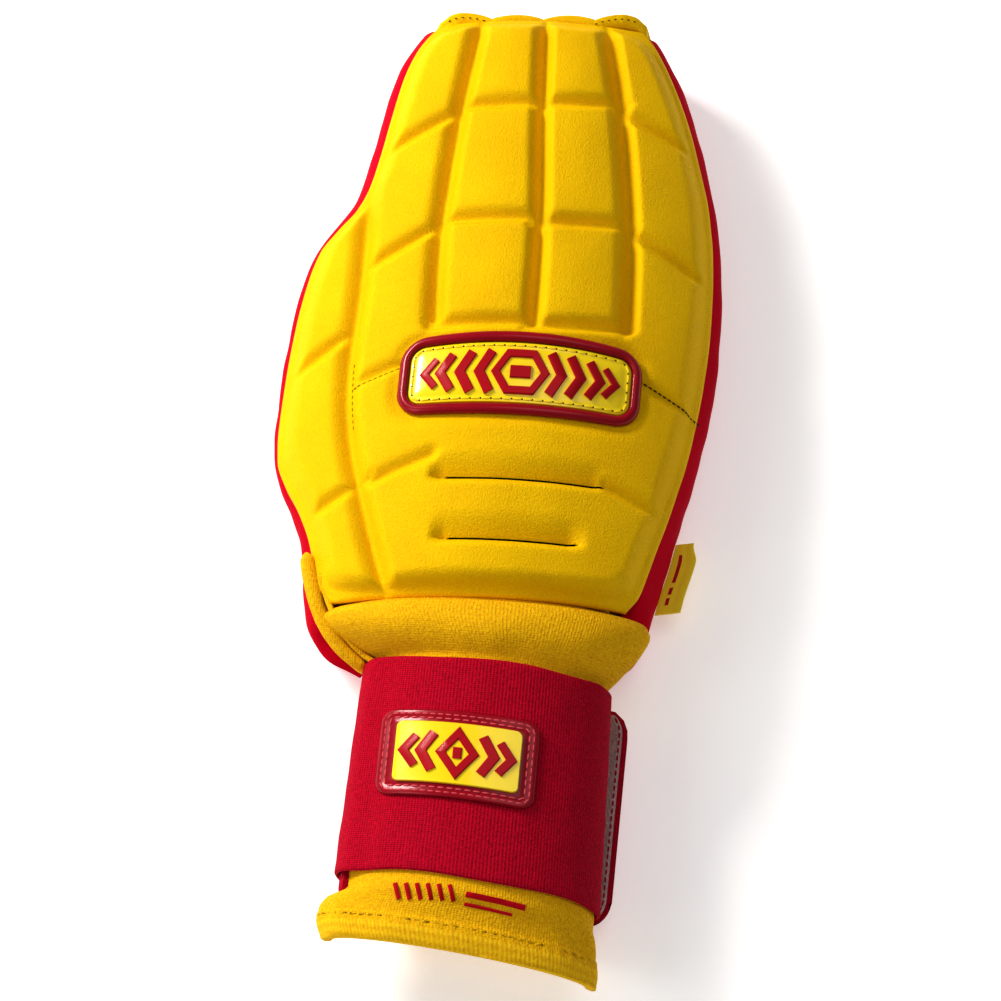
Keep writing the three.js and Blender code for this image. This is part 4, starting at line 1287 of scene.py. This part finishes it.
def welt():
    shape = Shape()
    roll(shape, welt_ridge, welt_radius + 0.2, 1.0, 0.15)
    inner = []
    for row in welt_ridge[1:]:
        x, y = row["x"] + 3.4, row["y"] + 1.0
        z = max(row["z"] + 2.0, float(over_sleeve(x, y, 0.9)[2])) if y < -1 else row["z"] + 2.2
        inner.append({"x": x, "y": y, "z": min(z, row["z"] + 4.5), "r": 1.0})
    roll(shape, inner, 1.0, 1.0, 0.15)
    under = [{**row, "x": row["x"] + 2.5, "z": row["z"] - 4.5} for row in welt_ridge[1:]]
    roll(shape, under, 3.2, 1.5, 0.1)
    shape.build("thumb_welt_roll", "neoprene", "thumb_welt")


# Strap

lap = strap_thickness + clearance


def wrist_point(share, degrees, off):
    """A point round the wrist, at a share of the strap's width."""
    share, degrees, off = together(share, degrees, off)
    width = lerp(wrist_width, forearm_width, share)
    height = lerp(wrist_height, forearm_height, share)
    turn = np.radians(degrees)
    x = lerp(wrist_centre, forearm_centre, share) + (width / 2 + off) * np.cos(turn)
    z = wrist_low + height / 2 + (height / 2 + off) * np.sin(turn)
    y = lerp(strap_top, strap_end, share) + lerp(strap_lean, strap_end_lean, share) * x
    return np.stack([x, y, z], -1)


def strap_rise(degrees):
    """Rise of the strap's inner face over the wrist: the second turn lies on the first."""
    return clearance + lap * smooth(degrees, strap_start_angle + 338, strap_start_angle + 356)


def tail_reach(share):
    """Length of the tail, with its rounded corners, at a share of its width."""
    over = np.maximum(0, tail_round - np.minimum(share, 1 - share) * strap_width)
    corner = tail_round - np.sqrt(np.maximum(0, tail_round ** 2 - over ** 2))
    return tail_length - tail_lean * share - corner


def tail_point(share, distance, off):
    """A point on the tail, which bends away from the wrist where it leaves it."""
    share, distance, off = together(share, distance, off)
    start = wrist_point(share, strap_leave_angle, 0)
    before = wrist_point(share, strap_leave_angle - 3, 0)
    along = start - before
    along[..., 1] = 0
    along = unit(along)
    away = np.stack([along[..., 2], np.zeros(share.shape), -along[..., 0]], -1)
    turn = distance / tail_bend
    return (
        start
        + along * ((tail_bend - off) * np.sin(turn))[..., None]
        + away * (tail_bend - (tail_bend - off) * np.cos(turn))[..., None]
    )


def strap():
    """The strap, whose first end shows below its outer turn, and its free tail."""
    half = strap_thickness / 2
    round_share = 0.012
    wave_turns = 5
    first_end = strap_start_angle + 12
    tail_angle = math.radians(strap_leave_angle)
    shares = np.concatenate([[0, 0.004, round_share], np.linspace(0.025, 0.975, 44), [0.988, 0.996, 1]])
    rounded = half * np.maximum(0, 1 - np.minimum(shares, 1 - shares) / round_share) ** 2
    share = np.concatenate([shares, shares[::-1][1:-1:2]])[None]
    off = np.concatenate([strap_thickness - rounded, rounded[::-1][1:-1:2]])[None]
    degrees = np.linspace(strap_start_angle, strap_leave_angle, 300)[:, None]

    def wave(turn):
        return 0.35 * np.sin(turn * wave_turns + 1.0) * (1 - 2 * share)

    lift = strap_rise(degrees) + off + 1.3 * bell(share, 0.035) * bell(degrees - 392, 13)
    lift = lift + np.where(degrees > 340, 0.12, 0.0) * ripple(degrees * 0.6, share * strap_width, 14, 4)
    points = wrist_point(share, degrees, lift)
    points[..., 1] -= start_shift * (1 - smooth(degrees, strap_start_angle + 20, strap_start_angle + 180))
    points[..., 1] += wave(np.radians(degrees))
    points[..., 1] -= 3.6 * smooth(share, 0.8, 1) * (1 - smooth(degrees, first_end, first_end + 3))
    t = np.linspace(0, 1, 22)[1:, None]
    tail = tail_point(share, t * tail_reach(share), strap_rise(strap_leave_angle) + off)
    tail[..., 1] += wave(tail_angle)
    mean_radius = 34  # of the wrist, for the way along the strap
    gone = np.concatenate([np.radians(degrees) * mean_radius, tail_angle * mean_radius + t * tail_length])
    flat = np.stack(np.broadcast_arrays(gone, share * strap_width), -1)
    shape = Shape()
    loft(shape, np.concatenate([points, tail]), 0, flat)

    # Stitches along the rim side of the first end
    near = strap_start_angle + 2.5
    corners = [(near, 0.93), (near, 0.985), (first_end, 0.985)]
    for a, b in zip(corners[:-1], corners[1:]):
        around, across = lerp(np.array(a), np.array(b), np.linspace(0, 1, 4)[:, None]).T
        centres = wrist_point(across, around, strap_rise(around) + strap_thickness + 0.1)
        centres[:, 1] -= start_shift
        ups = np.tile([-1.0, 0, 0.2], (4, 1))
        rods(shape, centres, np.gradient(centres, axis=0), ups, 1.3, 0.5, 0.4, 1)
    shape.build("wrist_strap_elastic", "elastic red_thread", "wrist_strap", 60)


def grip_patch():
    def place(share, distance, off):
        return tail_point(share, distance, strap_rise(strap_leave_angle) - clearance - off)

    shares = np.linspace(grip_margin, strap_width - grip_margin, 120)[None] / strap_width
    t = np.linspace(0, 1, 36)[:, None]
    across = shares * strap_width
    fuzz = 0.22 * ripple(across, t * tail_length, 1.9, 3) + 0.16 * ripple(across, t * tail_length, 1.2, 7)
    from_side = np.minimum(shares - shares.min(), shares.max() - shares)
    inward = np.minimum(np.minimum(t, 1 - t) * 8, from_side * 40)
    thick = (grip_thickness + fuzz) * np.clip(inward, 0.1, 1)
    distance = lerp(grip_start, tail_reach(shares) - grip_margin, t)
    shape = Shape()
    for off in (thick, 0.0):
        face = place(shares, distance, off)
        shape.add(face, grid_faces(*face.shape[:2]), 0)

    # Stitches along the tail's end
    inside = grip_margin + 1.1
    share = np.linspace(inside, strap_width - inside, 60) / strap_width
    points = place(share, tail_reach(share) - inside, grip_thickness + 0.1)
    gone = travelled(points)
    centres = sampled(np.arange(1.2, gone[-1], 2.6), gone, points)
    ups = np.tile([0.3, 0, 1.0], (len(centres), 1))
    rods(shape, centres, np.gradient(centres, axis=0), ups, 1.9, 0.6, 0.5, 1)
    shape.build("grip_patch_fuzz", "grip_fuzz red_thread", "grip_patch")


# Badge on the strap

def on_strap(x, v, off):
    """A point over the strap's badge, which bends round the wrist."""
    x, v, off = together(x, v, off)
    share = strap_badge_place - v / strap_width
    width = lerp(wrist_width, forearm_width, share)
    centre = lerp(wrist_centre, forearm_centre, share)
    turn = np.degrees(np.arccos(np.clip((x + strap_badge_shift - centre) / (width / 2 + off), -1, 1)))
    return wrist_point(share, turn, clearance + strap_thickness + off)


def strap_badge():
    base = Shape()
    top = clearance + strap_badge_thickness
    levels = [(0.6, clearance), (0.0, clearance + 0.1), (-0.05, top - 0.45), (0.2, top - 0.12), (0.7, top)]
    levels += [(2.2, top), (2.6, top - 0.15), (3.2, top - 0.15), (3.8, top + 0.05)]
    levels += [(inset, top) for inset in (5, 8, 11, 14.3)]
    plate(base, on_strap, strap_badge_width, strap_badge_height, strap_badge_corner, levels, 0)
    for name, inset in (("strap_badge_inner", 2.9), ("strap_badge_outer", 1.5)):
        ring = rounded_loop(strap_badge_width, strap_badge_height, strap_badge_corner, inset)
        stitches(base, ring, name, on_strap, top, 1, True)
    base.build("strap_badge_gloss", "red_gloss bright_thread", "strap_badge", 50)

    # Plate with its raised marks
    field = Shape()
    low = top + 0.12
    high = 2 * clearance + strap_badge_thickness + strap_plate_thickness
    levels = [(0.3, low), (0.0, low + 0.1), (0.0, high - 0.3), (0.25, high), (1.5, high - 0.02)]
    levels += [(4, high + 0.05), (7, high + 0.1), (strap_plate_height / 2 - 0.1, high + 0.1)]
    plate(field, on_strap, strap_plate_width, strap_plate_height, strap_plate_corner, levels, 0)
    low = high
    high = high + 0.7
    chevrons(field, table("reach tall half", (11.4, 6.2, 1.6), (16.8, 5.0, 1.4)), low, high, on_strap)
    ribbon(field, [(-5.2, 0), (0, 6.8), (5.2, 0), (0, -6.8)], 1.3, low, high, on_strap, 1, True)
    ribbon(field, [(0, -1.8), (0, 1.8)], 1.4, low, high, on_strap, 1)
    field.build("strap_badge_plate_gloss", "yellow_gloss red_relief", "strap_badge_plate", 40)


# Side label

def side_label():
    def place(out, along, rise):
        """A point over the label's face, at shares of its reach and of its length."""
        out, along, rise = together(out, along, rise)
        y = label_place + (along - 0.5) * label_length
        near = palm_outer(y) + wall_bulge / 4 + clearance
        x = near + out * (label_reach - label_chamfer * smooth(along, 0.7, 1))
        bend = 0.4 * np.sin(along * math.pi) * out
        return leaned(x, y + label_slant * (x - near), label_height + label_thickness + rise + bend)

    under = [(0.0, 0.0), (0.3, 0.0), (0.7, -0.05), (0.93, 0.0), (1.0, 0.35), (1.0, 0.85)]
    over = [(0.93, 0.0), (0.7, -0.05), (0.62, -0.2), (0.55, 0.0), (0.3, 0.05), (0.0, 0.0)]
    profile = [(out, rise - label_thickness) for out, rise in under] + over
    along = np.linspace(0, 1, 40)
    shape = Shape()
    loft(shape, np.stack([place(out, along, rise) for out, rise in profile], 1))
    for low, high in ((0.12, 0.22), (0.27, 0.37), (0.44, 0.84)):
        along = np.linspace(low, high, 12)
        edges = [place(out, along, 0.12) for out in (0.29, 0.43)]
        shape.add(np.stack(edges, 1), grid_faces(len(along), 2), 1)
    shape.build("side_label_tape", "label_tape print_ink", "side_label", 50)


back_pad()
badge()
palm_pad()
side_walls()
tip_wall()
sleeve()
welt()
strap()
grip_patch()
strap_badge()
side_label()


# Floor, light and camera

def studio():
    floor_half = 6.0
    floor_mesh = bpy.data.meshes.new("floor")
    corners = np.array([(-1, -1, 0), (1, -1, 0), (1, 1, 0), (-1, 1, 0)]) * floor_half
    floor_mesh.from_pydata(corners.tolist(), [], [(0, 1, 2, 3)])
    paper = knit("floor_paper", (0.86, 0.86, 0.86), (0.93, 0.93, 0.93), 300.0, 0.00002, 0.9, 0.0, 0.12)
    shader = paper.node_tree.nodes["Principled BSDF"]
    shader.inputs["Emission Color"].default_value = (1, 1, 1, 1)
    shader.inputs["Emission Strength"].default_value = 0.4
    floor_mesh.materials.append(paper)
    floor = bpy.data.objects.new("floor", floor_mesh)
    floor.location.z = -0.0002
    bpy.context.scene.collection.objects.link(floor)
    world = bpy.data.worlds.new("studio")
    bpy.context.scene.world = world
    world.use_nodes = True
    sky = world.node_tree.nodes["Background"]
    sky.inputs["Color"].default_value = (1.0, 0.99, 0.98, 1)
    sky.inputs["Strength"].default_value = 0.27
    lamps = table(
        "name at size watts tint",
        ("key", (-1.05, 0.72, 0.8), 0.42, 22.5, (1.0, 0.98, 0.95)),
        ("fill", (-0.95, -0.5, 0.9), 0.6, 5.0, (1.0, 0.99, 0.97)),
        ("top", (0.4, 0.3, 1.6), 0.9, 4.5, (1.0, 1.0, 1.0)),
    )
    for lamp in lamps:
        light = bpy.data.lights.new(lamp["name"], "AREA")
        light.shape = "SQUARE"
        light.size = lamp["size"]
        light.energy = lamp["watts"]
        light.color = lamp["tint"]
        holder = bpy.data.objects.new(lamp["name"], light)
        holder.location = lamp["at"]
        holder.rotation_mode = "QUATERNION"
        holder.rotation_quaternion = (-Vector(lamp["at"])).to_track_quat("-Z", "Y")
        bpy.context.scene.collection.objects.link(holder)


def camera():
    azimuth = math.radians(5.2)
    elevation = math.radians(70)
    distance = 1376.0
    target = np.array([2.0, 37.0, 40.0]) + offset
    aside = np.array([math.sin(azimuth), -math.cos(azimuth), 0.0])
    back = aside * math.cos(elevation) + np.array([0.0, 0.0, math.sin(elevation)])
    right = np.array([math.cos(azimuth), math.sin(azimuth), 0.0])
    up = np.cross(back, right)
    at = (target + back * distance) / metre
    data = bpy.data.cameras.new("camera")
    data.lens = 150
    data.sensor_width = 36
    data.clip_start = 0.05
    data.clip_end = 20
    holder = bpy.data.objects.new("camera", data)
    placed = np.eye(4)
    placed[:3] = np.column_stack([right, up, back, at])
    holder.matrix_world = Matrix(placed.tolist())
    bpy.context.scene.collection.objects.link(holder)
    bpy.context.scene.camera = holder


studio()
camera()
bpy.context.scene.view_settings.view_transform = "Standard"
bpy.context.scene.view_settings.look = "None"
bpy.context.scene.view_settings.exposure = 0.0
bpy.context.scene.view_settings.gamma = 0.8
